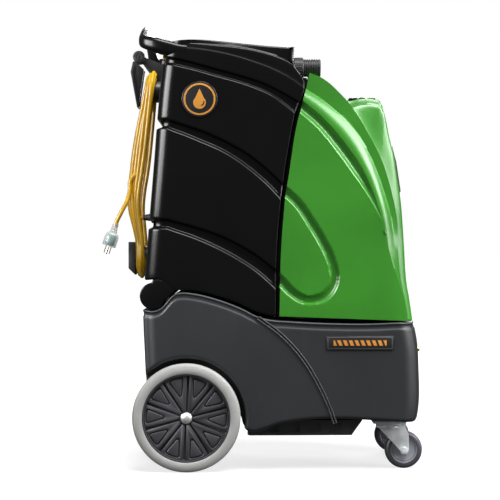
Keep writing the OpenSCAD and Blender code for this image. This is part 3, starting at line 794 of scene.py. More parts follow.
def winding():
    """The cord's turns round the two hook drums, from the end of the lead to the start of the tail."""
    inner = through([(455, -318), (545, -319), (625, -327), (737, -313), (960, -288)])
    outer = through([(455, -332), (545, -334), (625, -353), (737, -347), (960, -306)])
    columns = [0, 1, 2, 3, 2.4, 1.4, 0.5]
    layers = [0, 0, 0, 0, 1, 1, 1]
    arc = np.linspace(0, math.pi, 9)
    points = []

    def put(turn, y, z, phase):
        nxt = min(turn + 1, TURNS - 1)
        k = ease(np.array(phase), 0.45, 0.8)
        column = columns[turn] * (1 - k) + columns[nxt] * k
        x = inner(z) + (outer(z) - inner(z)) * column / 3
        wave = math.sin(math.pi * np.clip((z - HOOK_LOW_Z) / (HOOK_TOP_Z - HOOK_LOW_Z), 0, 1))
        x += 2.6 * wave * math.sin(2.3 * turn + 5 * phase)
        y += 3.0 * wave * math.sin(1.7 * turn + 1.0) * (1 if y > 0 else -1)
        points.append((float(x), float(y), float(z)))

    for turn in range(TURNS):
        r = 32.0 + 10.8 * layers[turn] + (4.5 if columns[turn] % 2 >= 1 else 0.0)
        start = 1 if turn == 0 else 0
        for a in arc[start:]:
            put(turn, -r * math.cos(a), HOOK_LOW_Z - r * math.sin(a), 0.15 * a / math.pi)
        for z in np.linspace(HOOK_LOW_Z + 35, HOOK_TOP_Z - 35, 9):
            put(turn, r, z, 0.15 + 0.35 * (z - HOOK_LOW_Z) / 411)
        for a in arc:
            put(turn, r * math.cos(a), HOOK_TOP_Z + r * math.sin(a), 0.5 + 0.15 * a / math.pi)
        end = 720 if turn == TURNS - 1 else HOOK_LOW_Z + 35
        for z in np.linspace(HOOK_TOP_Z - 35, end, 9 if end < 600 else 5):
            put(turn, -r, z, 0.65 + 0.35 * (HOOK_TOP_Z - z) / 411)
    return points


def cord():
    points = LEAD + winding() + TAIL
    data = bpy.data.curves.new("power_cord", "CURVE")
    data.dimensions = "3D"
    data.bevel_depth = CORD_D / 2 * MM
    data.bevel_resolution = 3
    data.resolution_u = 4
    data.use_fill_caps = True
    spline = data.splines.new("BEZIER")
    spline.bezier_points.add(len(points) - 1)
    for point, at in zip(spline.bezier_points, points):
        point.co = Vector(at) * MM
        point.handle_left_type = point.handle_right_type = "AUTO"
    obj = bpy.data.objects.new("power_cord", data)
    bpy.context.scene.collection.objects.link(obj)
    bpy.context.view_layer.update()
    data.materials.append(MAT["cord_jacket"])
    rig.ride(obj, "tank")
    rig.slot(obj, "cord_jacket")
    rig.replaces(obj, "cord_hank", "cord_tail")
    length = np.linalg.norm(np.diff(np.array(points), axis=0), axis=1).sum() * MM
    return obj, round(float(length), 2)


def plug():
    """The clear moulded plug with its teal indicator, and the strain relief at its neck."""
    top = Vector(TAIL[-1])
    profile = [(0.01, -8), (6.6, -8), (7.4, 0), (7.0, 3), (8.4, 6), (7.8, 9), (9.4, 12), (9.0, 15),
               (13.5, 18), (16.4, 24), (17.0, 34), (17.0, 48), (15.8, 50), (0.01, 50)]
    body = turned("plug_moulding", profile, (0, 0, 0), "Z", 48)
    core = turned("plug_indicator", [(0.01, 18), (9, 20), (11.5, 26), (11.5, 44), (9, 47), (0.01, 47)],
                  (0, 0, 0), "Z", 40)
    for obj in (body, core):
        obj.rotation_euler = (0, math.pi + PLUG_TILT, 0)
        obj.location = top * MM
        place(obj)
        smooth(obj, 35)
    done(body, "tank", "plug_clear", "plug_body")
    done(core, "tank", "plug_clear", material="teal")
    blades = refined("plug_blades", 0.25, 1)
    return [body, core, blades]


def gland():
    """The ribbed strain relief where the cord leaves the tank."""
    profile = [(0.01, 24), (5.6, 24), (7.2, 23)]
    for i in range(4):
        profile += [(7.6 + i * 0.6, 21 - i * 4), (6.4 + i * 0.7, 19 - i * 4)]
    profile += [(10.5, 4), (14, 3), (14, -5), (0.01, -5)]
    obj = turned("cord_relief", profile, (0, 0, 0), "Z", 40)
    obj.rotation_euler = (0, -math.pi / 2, 0)
    obj.location = Vector((-294.5, LEAD[0][1], LEAD[0][2])) * MM
    place(obj)
    bevel(obj, 0.4, 2)
    smooth(obj, 35)
    return done(obj, "tank", "panel_plastic", "cord_gland")


# ---------------------------------------------------------------- recovery tank

TANK_LOW = through([(-312, 449), (-262, 447), (-246, 437), (-236, 429), (-226, 426.6), (-187, 424),
                    (-134, 412),
                    (-80, 393), (-40, 374.2), (-12, 366.5), (10, 363.6)])
TANK_HIGH = through([(-310, 1006), (-262, 1008), (-200, 1013), (0, 999.5), (52, 996)])
# Lines along the side, as (x, z): the edges of the two grooves, the step under the arm, and the shoulder
LINES = {
    "low_top": [(-250, 571), (-241, 567.7), (-187, 549), (-134, 526), (-80, 496.6), (-40, 469.7),
                (6, 429.4), (40, 398)],
    "mid_foot": [(-250, 592), (-241, 589.3), (-187, 574.5), (-134, 557), (-80, 531.5), (-40, 507.3),
                 (9, 468), (40, 440)],
    "mid_top": [(-250, 806), (-241, 802), (-214, 792), (-177, 777), (-107, 744.7), (-53, 707), (-13, 672),
                (22, 634.6),
                (74, 578)],
    "high_foot": [(-250, 826), (-240, 823), (-214, 814.5), (-160, 795.7), (-107, 771.6), (-53, 739.3),
                  (1, 693.6),
                  (25, 669.5), (74, 622)],
    "high_top": [(-250, 956), (-228, 952), (-134, 927.4), (-53, 903.2), (1, 879), (52, 840), (74, 820)],
    "arm_foot": [(-250, 972), (-228, 968), (-134, 943.5), (-80, 928.7), (-26, 911.2), (28, 884.4),
                 (60, 865.6),
                 (74, 857)],
    "arm_crease": [(-250, 990), (-200, 992), (-160, 988), (-58, 964), (9, 938), (62, 906), (74, 898)],
    "arm_top": [(-250, 999), (-200, 1003), (-140, 1000), (-80, 994.5), (-26, 983.8), (28, 965), (74, 936)],
}
GROOVE = 10.5


def raised(line, dz):
    """The line moved up by dz, measured square to it."""
    if isinstance(line, str):
        curve = through(LINES[line])
        return lambda x: curve(x) + dz * np.hypot(1, (curve(x + 2) - curve(x - 2)) / 4)
    return lambda x: line(x) + dz


def span(low, high, count, a, b=None):
    """Rings between two lines, with the inset going from a to b."""
    b = a if b is None else b
    return [((lambda x, t=t: low(x) * (1 - t) + high(x) * t), a + (b - a) * t)
            for t in np.linspace(0, 1, count + 2)[1:-1]]


def edge(line, flat, deep, up, k=1.0):
    """Rings over a rounded edge, from the flat panel into the groove or back out of it."""
    d = deep - flat
    rows = [(-7, 0), (-3.6, 0.01), (-1.8, 0.07), (-0.4, 0.22), (0.7, 0.46), (1.9, 0.72), (3.8, 0.93),
            (6.5, 1)]
    rows = [(dz, flat + d * f) for dz, f in rows]
    if not up:
        rows = [(-dz, inset) for dz, inset in rows[::-1]]
    return [(raised(line, dz * k), inset) for dz, inset in rows]


def rounding(line, radius, inset, top):
    """Rings round the shell's own lower or upper edge."""
    turn = np.linspace(0, math.pi / 2, 6)
    rows = [(radius * (1 - math.sin(a)), inset + radius * (1 - math.cos(a))) for a in turn]
    if top:
        return [(raised(line, -up), i) for up, i in rows]
    return [(raised(line, up), i) for up, i in rows[::-1]]


def tank_rings():
    deep = 2 + GROOVE
    rings = rounding(TANK_LOW, 5, 2, False)
    rings += span(raised(TANK_LOW, 5), raised("low_top", -7), 8, 2)
    rings += edge("low_top", 2, deep, True) + edge("mid_foot", 2, deep, False)
    rings += span(raised("mid_foot", 7), raised("mid_top", -7), 9, 2)
    rings += edge("mid_top", 2, deep, True) + edge("high_foot", 2, deep, False)
    rings += span(raised("high_foot", 7), raised("high_top", -6), 7, 2)
    rings += edge("high_top", 2, 9, True, 0.75) + edge("arm_foot", 0.3, 9, False, 0.75)
    rings += span(raised("arm_foot", 5.5), raised("arm_crease", -2.5), 4, 0.3)
    rings += [(raised("arm_crease", d), i) for d, i in ((-2.4, 0.35), (-0.8, 0.7), (0.8, 1.3), (2.4, 2.0))]
    rings += span(raised("arm_crease", 2.4), raised("arm_top", -3), 3, 2.0, 3.4)
    rings += [(raised("arm_top", d), i) for d, i in ((-2.6, 3.6), (-1.2, 4.2), (-0.2, 5.6), (0.3, 8),
                                                     (0.7, 12),
                                                     (1.2, 15), (2.2, 16.4))]
    rings += span(raised("arm_top", 2.4), raised(TANK_HIGH, -5), 4, 16.6, 18.5)
    return rings + rounding(TANK_HIGH, 5, 18.6, True)


def tank_skin(x, y, z, nx, ny, inset):
    """The inset of the tank's rings: the shoulder's ledge fades out to the rear."""
    ledge = np.clip(inset - 3.6, 0, None) * (z > through(LINES["arm_top"])(x) - 3)
    inset = inset - ledge * (1 - ease(x, -215, -90))
    facing = ease(nx, 0.2, 0.8)
    return -(inset * (1 - facing) + 4.0 * facing)


FLOAT_ROOM = 66.0  # clear height over the float's rest place


def recovery_tank():
    plan = Plan(HALF_W, 34, 7, 104, 24, 56, 9)
    rear = through([(440, -308), (700, -287), (941, -266), (985, -260), (1013, -250)])
    front = through([(366, 9), (412, 9), (503, 10.7), (646, 22), (838, 53), (925, 71), (946, 55),
                     (1000, 52)])
    shell = wrapped("recovery_tank_skin", plan, rear, front, tank_rings(), tank_skin, 18, -110.0)
    low = [(-292, 462), (-262, 900), (-258, 925), (58, 915), (40, 838), (10, 646), (-1, 503), (-5, 384),
           (-22, 388),
           (-54, 404), (-149, 433), (-208, 446)]
    cut(shell, slab("tank_inside", low, -192, 192))
    cut(shell, slab("tank_inside_top", [(-256, 920), (-246, 992), (-200, 1002), (42, 985), (42, 920)], -172,
                    172))
    tilt = math.radians(TANK_TILT)
    foot, head = Vector(MOUTH), Vector((math.sin(tilt), 0, math.cos(tilt)))
    cut(shell, rod("mouth_cut", foot - head * 26, foot + head * 20, 90, 96))
    cut(shell, rod("inlet_cut", (30, 0, INLET_Z), (80, 0, INLET_Z), INLET_R))
    cut(shell, rod("drain_cut", (-330, 95, 500), (-270, 95, 500), 19))
    low_ball, high_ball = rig.box("float_ball")
    ball = (low_ball + high_ball) / 2 / MM
    cut(shell, rod("float_room", ball - Vector((0, 0, 30)), ball + Vector((0, 0, FLOAT_ROOM)), 34, 64))
    smooth(shell, 45)
    pieces = [shell]
    # hinge lobes, round behind and below, with a web up to the tank
    arc = [math.radians(a) for a in range(96, 314, 5)]
    lobe = [(HINGE[0] + LOBE_R * math.cos(a), HINGE[1] + LOBE_R * math.sin(a)) for a in arc]
    lobe += [(-257, 402), (-246.5, 411), (-236, 421.5), (-229, 427), (-229, 449), (-284, 451.5)]
    for y0, y1 in ((-HALF_W + 2.7, -110), (110, HALF_W - 2.7)):
        web = slab("lobe", lobe, y0, y1)
        pieces.append(smooth(bevel(web, 3.5, 4, 40), 40))
    # a tongue of tank plastic behind the seam with the cover: a dark sheet that stands in for the shade seen in the
    # seam, so the seam doesn't show through
    tongue = [(4, 366), (4, 500), (20, 660), (48, 850), (58, 900), (66, 926), (79, 926), (76, 900),
              (69, 870), (60.5, 838),
              (52.5, 790), (31, 655), (20, 503), (19, 366)]
    pieces.append(smooth(bevel(slab("tongue", tongue, -188, 188), 2, 2), 40))
    pieces += handle()
    whole = joined("recovery_tank_body", pieces)
    return done(whole, "tank", "tank_plastic", "recovery_tank")


def handle():
    """The moulded handle: an arm from each side, and the crowned bar behind the tank."""
    half = [(-205, -197, 987), (-225, -197, 989), (-246, -197, 993), (-266, -196.5, 998),
            (-283, -194, 1003), (-296, -187, 1008), (-303.5, -175, 1013), (-306.5, -158, 1019),
            (-307.5, -135, 1027), (-308, -108, 1036), (-308, -76, 1045), (-308, -40, 1053), (-308, 0, 1056)]
    path = half + [(x, -y, z) for x, y, z in half[-2::-1]]
    fine = np.array([[through(list(zip(range(len(path)), [p[k] for p in path])))(t) for k in range(3)]
                     for t in np.linspace(0, len(path) - 1, 110)])
    spread = np.abs(fine[:, 1])
    across = 12.0 + 3.0 * ease(spread, 120, 196)
    up = 15.5 + 2.5 * ease(-fine[:, 0], 215, 250) * (1 - ease(-fine[:, 0], 270, 306))
    bar = swept("handle_bar", fine, across, up, 32, 2.8)
    return [smooth(bar, 50)]


# ---------------------------------------------------------------- solution tank and chassis

BASE_HIGH = through([(-312, 381), (-276, 379.6), (-263, 386), (-250, 400), (-241, 410.5), (-230, 418.5),
                     (-215, 421), (-187, 418.5), (-134, 405.5), (-80, 385.5), (-31, 362), (0, 356), (30,
                                                                                                     354),
                     (115, 349.5), (214, 348), (317, 351), (350, 350)])
BASE_LOW = through([(-320, 160), (-90, 160), (-80, 140), (-74, 112), (-66, 99), (-58, 95), (-49, 93),
                    (-36, 95),
                    (-13, 103), (10, 111), (30, 115), (360, 115)])
BASE_ARC = trace([(-44, 366), (-31.4, 357), (8.6, 328), (65, 268.7), (105, 204), (129, 153), (143, 114)])


def base_skin(x, y, z, nx, ny, inset):
    """The base's rings, with the arch's rounded lip, the arc's step and the bowed front."""
    side = np.abs(ny) > 0.5
    gap = reach(x, z, BASE_ARC)
    behind = (z < np.interp(x, BASE_ARC[:, 0], BASE_ARC[:, 1])) | (x < BASE_ARC[0, 0])
    lip = 9 - np.clip(np.hypot(x - AXLE[0], z - AXLE[1]) - ARCH_R, 0, 9)
    inset = inset + side * (1.3 * behind * ease(gap, 0, 5) + (9 - np.sqrt(81 - lip ** 2)))
    bow = 20.5 - 22.0 * (np.abs(y) / HALF_W) ** 2
    return -(inset + 1.6 * side) + np.clip(nx, 0, 1) * (bow + 1.0)


def base_tank():
    plan = Plan(HALF_W, 30, 30, 176, 44, 26, 8)
    rear = through([(160, -300), (216, -302), (389, -309), (430, -310)])
    front = through([(100, 326), (134, 333), (234, 335), (301, 331), (352, 321)])
    rings = rounding(BASE_LOW, 8, 0, False)
    rings += span(raised(BASE_LOW, 8), raised(BASE_HIGH, -20), 62, 0)
    rings += [(raised(BASE_HIGH, d), i) for d, i in ((-19, 0), (-17, 0.3), (-15.5, 1.2), (-13, 1.9),
                                                     (-9, 2.0),
                                                     (-6.5, 1.4), (-5, 0.6))]
    rings += rounding(BASE_HIGH, 4, 0, True)
    shell = wrapped("base_tank_skin", plan, rear, front, rings, base_skin, 14, 40.0)
    for s in (-1, 1):
        cut(shell, rod("well_cut", (AXLE[0], s * 168, AXLE[1]), (AXLE[0], s * 240, AXLE[1]), ARCH_R, 160))
    cut(shell, rod("cradle_cut", (HINGE[0], -230, HINGE[1]), (HINGE[0], 230, HINGE[1]), LOBE_R + 2.0, 96))
    cut(shell, block("pocket_cut", (-50, 147, 272), (50, 230, 347)))
    cut(shell, block("socket_cut", (328, -115, 250), (380, -55, 310)))
    cut(shell, bevel(slab("plate_cut", [(122, 284.8), (281, 284.8), (281, 320.2), (122, 320.2)], -230,
                          -211.4), 4, 4))
    smooth(shell, 40)
    neck = turned("fill_neck", [(22, 250), (22, 298), (23, 299), (26, 299), (27, 298), (27, 271.5),
                                (24, 271), (24, 250), (22, 250)], (0, 178, 0), "Z", 64)
    smooth(neck, 35)
    pieces = [shell, neck]
    # the pair of raised beads along the arc, on each side
    step = np.gradient(BASE_ARC, axis=0)
    step /= np.linalg.norm(step, axis=1)[:, None]
    for s in (-1, 1):
        for shift in (-3.3, 3.3):
            x, z = BASE_ARC[:, 0] - step[:, 1] * shift, BASE_ARC[:, 1] + step[:, 0] * shift
            path = np.column_stack([x, np.full(len(x), s * 210.2), z])[6:]
            pieces.append(smooth(swept("bead", path, np.full(len(path), 1.9), np.full(len(path), 1.9), 12,
                                       2.0), 50))
    whole = joined("base_tank_body", pieces)
    return done(whole, "chassis", "base_plastic", "base_tank")


# ---------------------------------------------------------------- front cover

# Lines on the cover's side, as (x, z): rear edge, the groove's edges, the cove's root and the wing's edge
REAR_EDGE = [(60, 840), (57, 828), (49, 790), (41, 737), (34, 690), (27, 646), (22.5, 600), (16, 503),
             (14.5, 443),
             (13, 365)]
TAIL_END = [(273, 509), (293, 445), (305.5, 404), (313, 354)]
FLANK_EDGE = [(61, 839.6), (100, 805.5), (140.3, 757), (180.6, 702.7), (220.9, 646.3),
              (253, 587.8)] + TAIL_END
RIDGE = [(67.8, 870), (100, 843.7), (140.3, 803.4), (172.5, 763), (200.7, 722.8), (222, 682.5),
         (240.5, 634),
         (253, 587.8)] + TAIL_END
COVE_ROOT = [(76, 899), (104, 882), (140.3, 853.7), (172.5, 823.5), (204.7, 783), (229, 739), (249, 690.6),
             (265, 642), (275.5, 602), (281, 560), (286, 503), (297.5, 445), (308, 404), (315, 354)]
WING = [(84, 937), (108, 928), (132, 912), (152, 893), (172, 872), (194, 842), (226, 788), (253, 735),
        (269, 689),
        (281, 642), (289, 600), (293.5, 503), (300, 445), (309.5, 400), (317, 354)]
CONSOLE = [(84, 937), (108, 928), (132, 912), (155, 897), (177, 881), (208, 885), (244, 884), (263, 868),
           (280, 790),
           (292, 740), (303, 668), (313, 560), (320, 450), (328, 400), (335, 352)]
LOOP = trace([(16, 666), (29, 655), (55.6, 630), (86, 586), (114, 539.5), (136, 491), (142.6, 459),
              (135, 430.7),
              (117, 411), (93, 403.5), (69.8, 404.5), (43.7, 419.6), (14.4, 449.8), (4, 460)], 500)


def nearest(path, points):
    """The point of a dense path nearest to each of these points."""
    far = ((points[:, None, :] - path[None, :, :]) ** 2).sum(-1)
    return path[far.argmin(1)]


def front_cover():
    rows = 190
    wing = trace(WING, rows)
    step = np.concatenate([[0], np.cumsum(np.hypot(*np.diff(np.array(WING, float), axis=0).T))])
    run = np.linspace(0, step[-1], rows)
    console = np.column_stack([through([(d, p[k]) for d, p in zip(step, CONSOLE)])(run) for k in (0, 1)])
    back = trace(REAR_EDGE, rows)
    root = nearest(trace(COVE_ROOT, 1500), wing)
    ridge = nearest(trace(RIDGE, 1500), root)
    flank = nearest(trace(FLANK_EDGE, 1500), ridge)
    width = np.hypot(*(ridge - flank).T)
    flank[width < 1.5] = ridge[width < 1.5]
    width[width < 1.5] = 0
    size = np.clip(width / 18, 0, 1)
    lower = 1 - ease(wing[:, 1], 500, 640)
    corner = 0.8 + 4.5 * lower
    columns = []  # x, y and z of each column, from the near rear edge to the middle

    def across(a, b, steps, inset):
        for u in steps:
            p = a * (1 - u) + b * u
            columns.append((p[:, 0], -HALF_W + inset(u, p), p[:, 1]))

    def panel(u, p):
        gap = reach(p[:, 0], p[:, 1], LOOP)
        edge_gap = np.hypot(*(flank - p).T)
        return 0.8 + 8.5 * (1 - ease(gap, 5.5, 11.5)) + (corner - 0.8) * np.clip(1 - edge_gap / 60, 0,
                                                                                 1) ** 2

    groove = through([(0, 0), (0.05, 0.6), (0.12, 2.4), (0.22, 6.2), (0.36, 9.6), (0.55, 10.8),
                      (0.72, 10.2), (0.84, 7.8),
                      (0.93, 4.6), (1, 2.8)])
    across(back, flank, np.linspace(0, 1, 92), panel)
    across(flank, ridge, np.linspace(0, 1, 14)[1:], lambda u, p: corner + size * float(groove(u)))
    foot = corner + 2.8 * size
    reach_root = np.hypot(*(root - ridge).T) / np.maximum(np.hypot(*(wing - ridge).T), 1e-6)
    deep = 21.0 * (1 - lower) + lower * (foot + (21.0 - foot) * reach_root)
    power = 2.1 - 1.1 * lower
    across(ridge, root, np.linspace(0, 1, 13)[1:], lambda u, p: foot + (deep - foot) * u ** power)
    across(root, wing, np.linspace(0, 1, 7)[1:], lambda u, p: deep + (22 - deep) * u)
    normal = np.gradient(wing, axis=0)
    normal = np.column_stack([normal[:, 1], -normal[:, 0]])
    normal /= np.linalg.norm(normal, axis=1)[:, None]
    sink = normal * 5.0
    edge_y = -HALF_W + 22.0
    for a in np.linspace(0, math.pi / 2, 7)[1:]:
        drop = 1 - math.cos(a)
        columns.append((wing[:, 0] + sink[:, 0] * drop * 0.5, edge_y + 6 * math.sin(a) + 0 * run,
                        wing[:, 1] + sink[:, 1] * drop * 0.5))
    for u in np.linspace(0, 1, 8)[1:]:
        y = (edge_y + 6) * (1 - u) - SHOULDER_HALF * u + 0 * run
        dish = 0.5 + 1.0 * math.sin(math.pi * u)
        columns.append((wing[:, 0] + sink[:, 0] * dish, y, wing[:, 1] + sink[:, 1] * dish))
    # the console's shoulder starts lower than its panel
    low = 15.0 * ease(console[:, 1], 840, 884)
    for u in np.linspace(0, 1, 13)[1:]:
        k = ease(np.array(u), 0.0, 1.0)
        p = (wing + sink * 0.5) * (1 - k) + (console - np.column_stack([0 * low, low])) * k
        columns.append((p[:, 0], np.full(rows, -SHOULDER_HALF + 24 * u), p[:, 1]))
    for u in np.linspace(0, 1, 6)[1:]:
        drop = 1 - math.sin(u * math.pi / 2)
        columns.append((console[:, 0], np.full(rows, -114 + 8 * u), console[:, 1] - low * drop))
    for u in np.linspace(0, 1, 20)[1:]:
        columns.append((console[:, 0], np.full(rows, -PANEL_HALF * (1 - u)), console[:, 1]))
    x, y, z = (np.stack([c[k] for c in columns]) for k in range(3))
    x, y, z = (np.concatenate([m, m[-2::-1]]) for m in (x, y, z))
    count = len(x)
    y[count // 2 + 1:] *= -1
    verts = np.stack([x, y, z], -1).reshape(-1, 3)
    faces = [(i * rows + j, (i + 1) * rows + j, (i + 1) * rows + j + 1, i * rows + j + 1)
             for i in range(count - 1) for j in range(rows - 1)]
    obj = merge(from_arrays("front_cover_shell", verts, faces), 2e-5)
    outward(obj)
    probe = min(obj.data.polygons, key=lambda f: (f.center - Vector((0.313, 0, 0.56))).length)
    if probe.normal.x < 0:
        edit(obj, bpy.ops.mesh.flip_normals)
    modify(obj, "SOLIDIFY", thickness=COVER_WALL * MM, offset=-1.0, use_rim=True)
    px, low_z, high_z = PANEL[0], PANEL[1] - 15, PANEL[1] + 15
    for i in (-1, 0, 1):
        cut(obj, block("switch_cut", (px - 14, i * 26 - 9, low_z), (px + 14, i * 26 + 9, high_z)))
    for y, r in ((-DIAL_Y, 19), (DIAL_Y, 9)):
        cut(obj, rod("dial_cut", (px, y, low_z), (px, y, high_z), r))
    for i in range(5):
        cut(obj, block("slot_cut", (255, -60, 668 + i * 22), (330, 60, 676 + i * 22)))
    smooth(obj, 42)
    return done(obj, "chassis", "cover_plastic", "front_cover")


# ---------------------------------------------------------------- wheels and casters

def rear_wheel(side, name):
    """Grey tyre on a dark disc of ten wedges, each with an outlined pad."""
    face = side * WHEEL_FACE
    x, z = AXLE
    tyre = turned("tyre", [(103.5, 1.5), (106, 0.2), (112, 0), (119, 0.3), (123.5, 2.4), (126, 6.5),
                           (127, 12),
                           (127, 32), (126, 37.5), (123.5, 41.6), (118, 43.6), (106, 43.8), (103.5, 42),
                           (103.5, 1.5)], (0, 0, 0), "Y", 160)
    rim = turned("rim", [(9.58, 6.6), (14, 6.6), (15, 7.6), (15.4, 17), (30, 17.5), (96, 17.5),
                         (98.5, 16.5),
                         (99.4, 3.8), (100, 2.8), (102.6, 2.6), (103.5, 3.4), (103.5, 40), (97, 40),
                         (95, 30), (26, 28), (24, 43.5), (9.58, 43.5), (9.58, 6.6)], (0, 0, 0), "Y", 160)
    smooth(tyre, 30)
    smooth(rim, 35)
    parts = [rim]
    arc = [math.radians(a) for a in range(-16, 17, 4)]
    wedge = [(16, -3.4)] + [(98.8 * math.cos(a), 98.8 * math.sin(a)) for a in arc] + [(16, 3.4)]
    hole = [(50.5, -3.2), (86, -16.4), (92, -17.2), (94.6, -14), (95.6, 0), (94.6, 14), (92, 17.2),
            (86, 16.4),
            (50.5, 3.2), (49.5, 0)]
    pad = [(55.5, -2.4), (87, -13.6), (90.3, -13.6), (92, -11.5), (93, 0), (92, 11.5), (90.3, 13.6),
           (87, 13.6),
           (55.5, 2.4), (54, 0)]
    for i in range(10):
        turn = math.radians(87 - 36 * i)
        plate = slab("wedge", wedge, 8.6, 18)
        cut(plate, slab("outline", hole, 4, 13))
        bevel(plate, 0.9, 2)
        raised_pad = slab("pad", pad, 9.0, 14)
        bevel(raised_pad, 1.3, 3)
        for part in (plate, raised_pad):
            part.rotation_euler = (0, math.radians(18) - turn, 0)
            place(part)
            parts.append(smooth(part, 40))
    rim = joined(name + "_rim_disc", parts)
    for obj in (rim, tyre):
        if side > 0:
            obj.scale = (1, -1, 1)
            place(obj)
            outward(obj)
        obj.location = Vector((x, face, z)) * MM
        place(obj)
    tyre.name = name + "_tyre_band"
    done(rim, name, "rim_plastic", name + "_rim")
    done(tyre, name, "tyre_grey", name + "_tyre")


def caster(side, name):
    """A plated fork, a grey core and a dark tread."""
    y, x, z = side * 140.0, 310.0, 44.5
    tread = [(32, -15), (37, -15.2), (41, -13.6), (43.6, -10), (44.5, -4), (44.5, 4), (43.6, 10),
             (41, 13.6),
             (37, 15.2), (32, 15), (32, -15)]
    turned_piece(f"caster_{name}_tread", f"roller_{name}", "caster_tread", f"caster_{name}_tyre", tread,
                 (x, y, z), "Y", 112)
    half = [(9, 18.3), (9.8, 17.5), (10, 12.6), (24.5, 12), (25.5, 12.6), (26.3, 12.6), (27, 11), (28, 11),
            (29, 13.8), (31, 14.2), (32, 13.6)]
    core = [(4.08, -18.3)] + [(r, -a) for r, a in half] + half[::-1] + [(4.08, 18.3), (4.08, -18.3)]
    turned_piece(f"caster_{name}_hub", f"roller_{name}", "caster_core_plastic", f"caster_{name}_core", core,
                 (x, y, z), "Y", 112)
    refined(f"caster_{name}_fork", 1.0, 3)
    refined(f"caster_{name}_axle", 0.8, 2)


# ---------------------------------------------------------------- lid, inlet and small parts

def tilted(obj):
    """Sets a part turned about Z on the tank's sloping top."""
    obj.rotation_euler = (0, math.radians(TANK_TILT), 0)
    obj.location = (Vector(MOUTH) + Vector((0, 0, 0.4))) * MM
    return place(obj)


def lid_parts():
    ring = turned("lid_ring_seat", [(90, 0), (90, 3.8), (91, 4.8), (101, 4.8), (103.4, 3.4), (104, 0.4),
                                    (104, 0),
                                    (90, 0)], (0, 0, 0), "Z", 128)
    tilted(smooth(ring, 35))
    ring.name = "lid_seat"
    done(ring, "tank", "tank_plastic", "lid_ring")
    lid = turned("lid_top", [(0.01, 7.6), (40, 7.9), (76, 7.6), (82, 6.2), (85, 6.2), (90, 8.4), (96, 8.4),
                             (98, 7.4),
                             (98, 5.5), (89.4, 5.4), (89.4, -14), (84, -14), (83, 2), (0.01, 2), (0.01,
                                                                                                  7.6)],
                 (0, 0, 0), "Z", 128)
    for s in (-1, 1):
        scoop = rod("scoop", (0, s * 47, 4.2), (0, s * 47, 30), 23, 48)
        cut(lid, scoop)
        bridge = block("grip", (-22, s * 47 - 3, 3.6), (22, s * 47 + 3, 7.6))
        bevel(bridge, 1.2, 3)
        lid = joined("lid_top", [lid, bridge])
    tilted(smooth(lid, 35))
    lid.name = "lid_disc"
    done(lid, "tank_lid", "tank_plastic", "lid")


def inlet_parts():
    nut = turned("nut", [(INLET_R, 52), (24, 52), (26, 53.5), (26, 75), (24.5, 77), (INLET_R, 77),
                         (INLET_R, 52)],
                 (0, 0, INLET_Z), "X", 96)
    ribs = [nut]
    for i in range(18):
        a = math.tau * i / 18
        y, z = 24.8 * math.cos(a), INLET_Z + 24.8 * math.sin(a)
        ribs.append(rod("rib", (54.5, y, z), (74.5, y, z), 1.7, 12))
    nut = joined("inlet_nut_ring", ribs)
    smooth(nut, 35)
    done(nut, "tank", "panel_plastic", "inlet_nut")
    profile = [(INLET_R, 77), (20.2, 77)]
    for i in range(7):
        a = 78.5 + i * 5.8
        profile += [(20.4, a), (22.3, a + 0.7), (22.4, a + 3.5), (20.4, a + 4.4)]
    profile += [(21, 118.5), (20.4, 119), (INLET_R, 119), (INLET_R, 77)]
    turned_piece("hose_cuff", "tank", "panel_plastic", "inlet_cuff", profile, (0, 0, INLET_Z), "X", 96, 30)


def badge():
    profile = [(0.01, -1.5), (39.5, -1.5), (41, -1.2), (41.9, 0), (0.01, 0)]
    turned_piece("badge_disc", "tank", "badge_orange", "badge", profile, (-174, -HALF_W, 873), "Y", 96, 30)


def gauge_face():
    x, top = PANEL[0], PANEL[1] + 2.6
    face = [(0.01, top), (17.6, top), (17.6, top - 0.4), (0.01, top - 0.4)]
    dial = turned("gauge_dial_face", face, (x, -DIAL_Y, 0), "Z", 64)
    needle = block("gauge_needle", (x - 1.1, -73, top + 0.4), (x + 1.1, -60, top + 1.0))
    bevel(needle, 0.25, 1)
    done(dial, "chassis", "gauge_metal", material="dial")
    done(needle, "chassis", "gauge_metal", material="handle_plastic")


def rest_of_nodes():
    """The remaining CAD pieces, with rounded edges."""
    widths = {
        2.5: "exhaust_muffler", 2.0: "base_skid lower_hook vacuum_motors pump wiring_box",
        1.6: "hook_flap fill_cap",
        1.5: "drain_handle heater", 1.2: "upper_hook drain_valve pressure_knob", 1.0: "caster_plates",
        0.9: "vent_panel", 0.8: "control_panel rocker_1 rocker_2 rocker_3", 0.0: "float_ball",
        0.6: "nameplate connect_collar standpipe"}
    width_of = {node: width for width, nodes in widths.items() for node in nodes.split()}
    replaced = {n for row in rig.table()["pieces"] for n in row.get("replaces", [])}
    for node in frame["nodes"]:
        if node not in replaced:
            refined(node, width_of.get(node, 0.5))


# ---------------------------------------------------------------- floor and light

def lamp(name, kind, at, aim, power):
    data = bpy.data.lights.new(name, kind)
    data.energy = power
    obj = bpy.data.objects.new(name, data)
    obj.location = at
    obj.rotation_euler = (Vector(aim) - Vector(at)).to_track_quat("-Z", "Y").to_euler()
    bpy.context.scene.collection.objects.link(obj)
    return obj


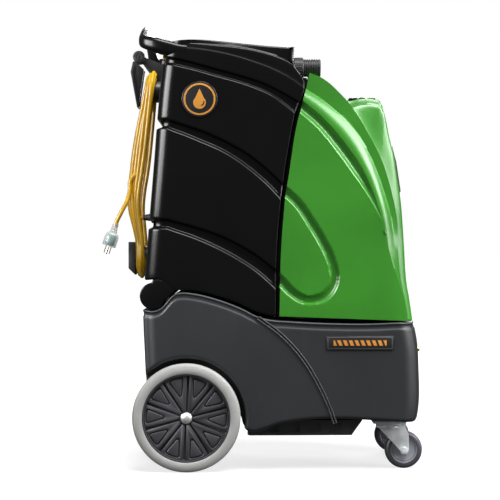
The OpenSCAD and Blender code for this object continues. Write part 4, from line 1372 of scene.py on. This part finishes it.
def studio():
    bpy.ops.object.select_all(action="DESELECT")
    bpy.ops.mesh.primitive_plane_add(size=300.0, location=(0, 0, 0))
    floor = bpy.context.object
    floor.name = "floor"
    s = Sheet("floor_white", (0.3, 0.3, 0.3), 0.9, Specular_IOR_Level=0.0, Emission_Color=(1, 1, 1, 1),
              Emission_Strength=0.74)
    s.set("Base Color", s.blend(s.noise(1.5), (0.29, 0.29, 0.29, 1.0), (0.31, 0.31, 0.31, 1.0)))
    floor.data.materials.append(s.material)
    floor.visible_diffuse = False
    floor.visible_glossy = False
    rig.stage(floor)

    # name, place, aim, power, width, height; the last two only show as reflections, down the tank's rear
    # corner and along the cover's cove
    cards = (("left_fill", (-3.1, -1.2, 1.75), (-0.2, -0.1, 0.8), 35, 1.2, 1.5),
             ("right_card", (3.0, -1.3, 1.3), (0.2, 0, 0.5), 60, 1.0, 2.0),
             ("back_fill", (0.6, 3.8, 2.0), (0, 0, 0.6), 150, 2.5, 1.6),
             ("rear_card", (-2.8, -2.0, 1.7), (-0.2, -0.1, 0.9), 230, 2.4, 1.5),
             ("cove_card", (2.5, -1.2, 2.5), (0.2, -0.1, 0.8), 170, 1.9, 1.9))
    lamp("overhead", "SUN", (0.6, -1.15, 3.0), (0, 0, 0), 4.2).data.angle = math.radians(32)
    for name, at, aim, power, width, height in cards:
        card = lamp(name, "AREA", at, aim, power)
        card.data.shape, card.data.size, card.data.size_y = "RECTANGLE", width, height
        card.visible_diffuse = name not in ("rear_card", "cove_card")
    world = bpy.data.worlds.new("world")
    world.use_nodes = True
    bpy.context.scene.world = world
    tree = world.node_tree
    sky = tree.nodes["Background"]
    path = tree.nodes.new("ShaderNodeLightPath")
    seen = tree.nodes.new("ShaderNodeMix")
    seen.data_type = "FLOAT"
    seen.inputs[2].default_value = 0.12
    seen.inputs[3].default_value = 1.0
    tree.links.new(path.outputs["Is Camera Ray"], seen.inputs[0])
    sky.inputs["Color"].default_value = (1, 1, 1, 1)
    tree.links.new(seen.outputs[0], sky.inputs["Strength"])
    bpy.context.scene.view_settings.view_transform = "Standard"


camera()
flex, flex_length = cord()
on_cord = plug() + [gland()]
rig.cord(flex, exit=[v * MM for v in LEAD[0]], length=flex_length, diameter=CORD_D * MM, far_end="plug",
        stiffness="medium", lay="coiled", with_pieces=on_cord)
recovery_tank()
base_tank()
front_cover()
for hand, sign in (("right", -1), ("left", 1)):
    rear_wheel(sign, "wheel_" + hand)
    caster(sign, hand)
lid_parts()
inlet_parts()
badge()
gauge_face()
rest_of_nodes()
studio()
json.dump({"cad": [list(c) for c in cad_box], "visual": [list(c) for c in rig.bounds()]},
          open("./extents.json", "w"))
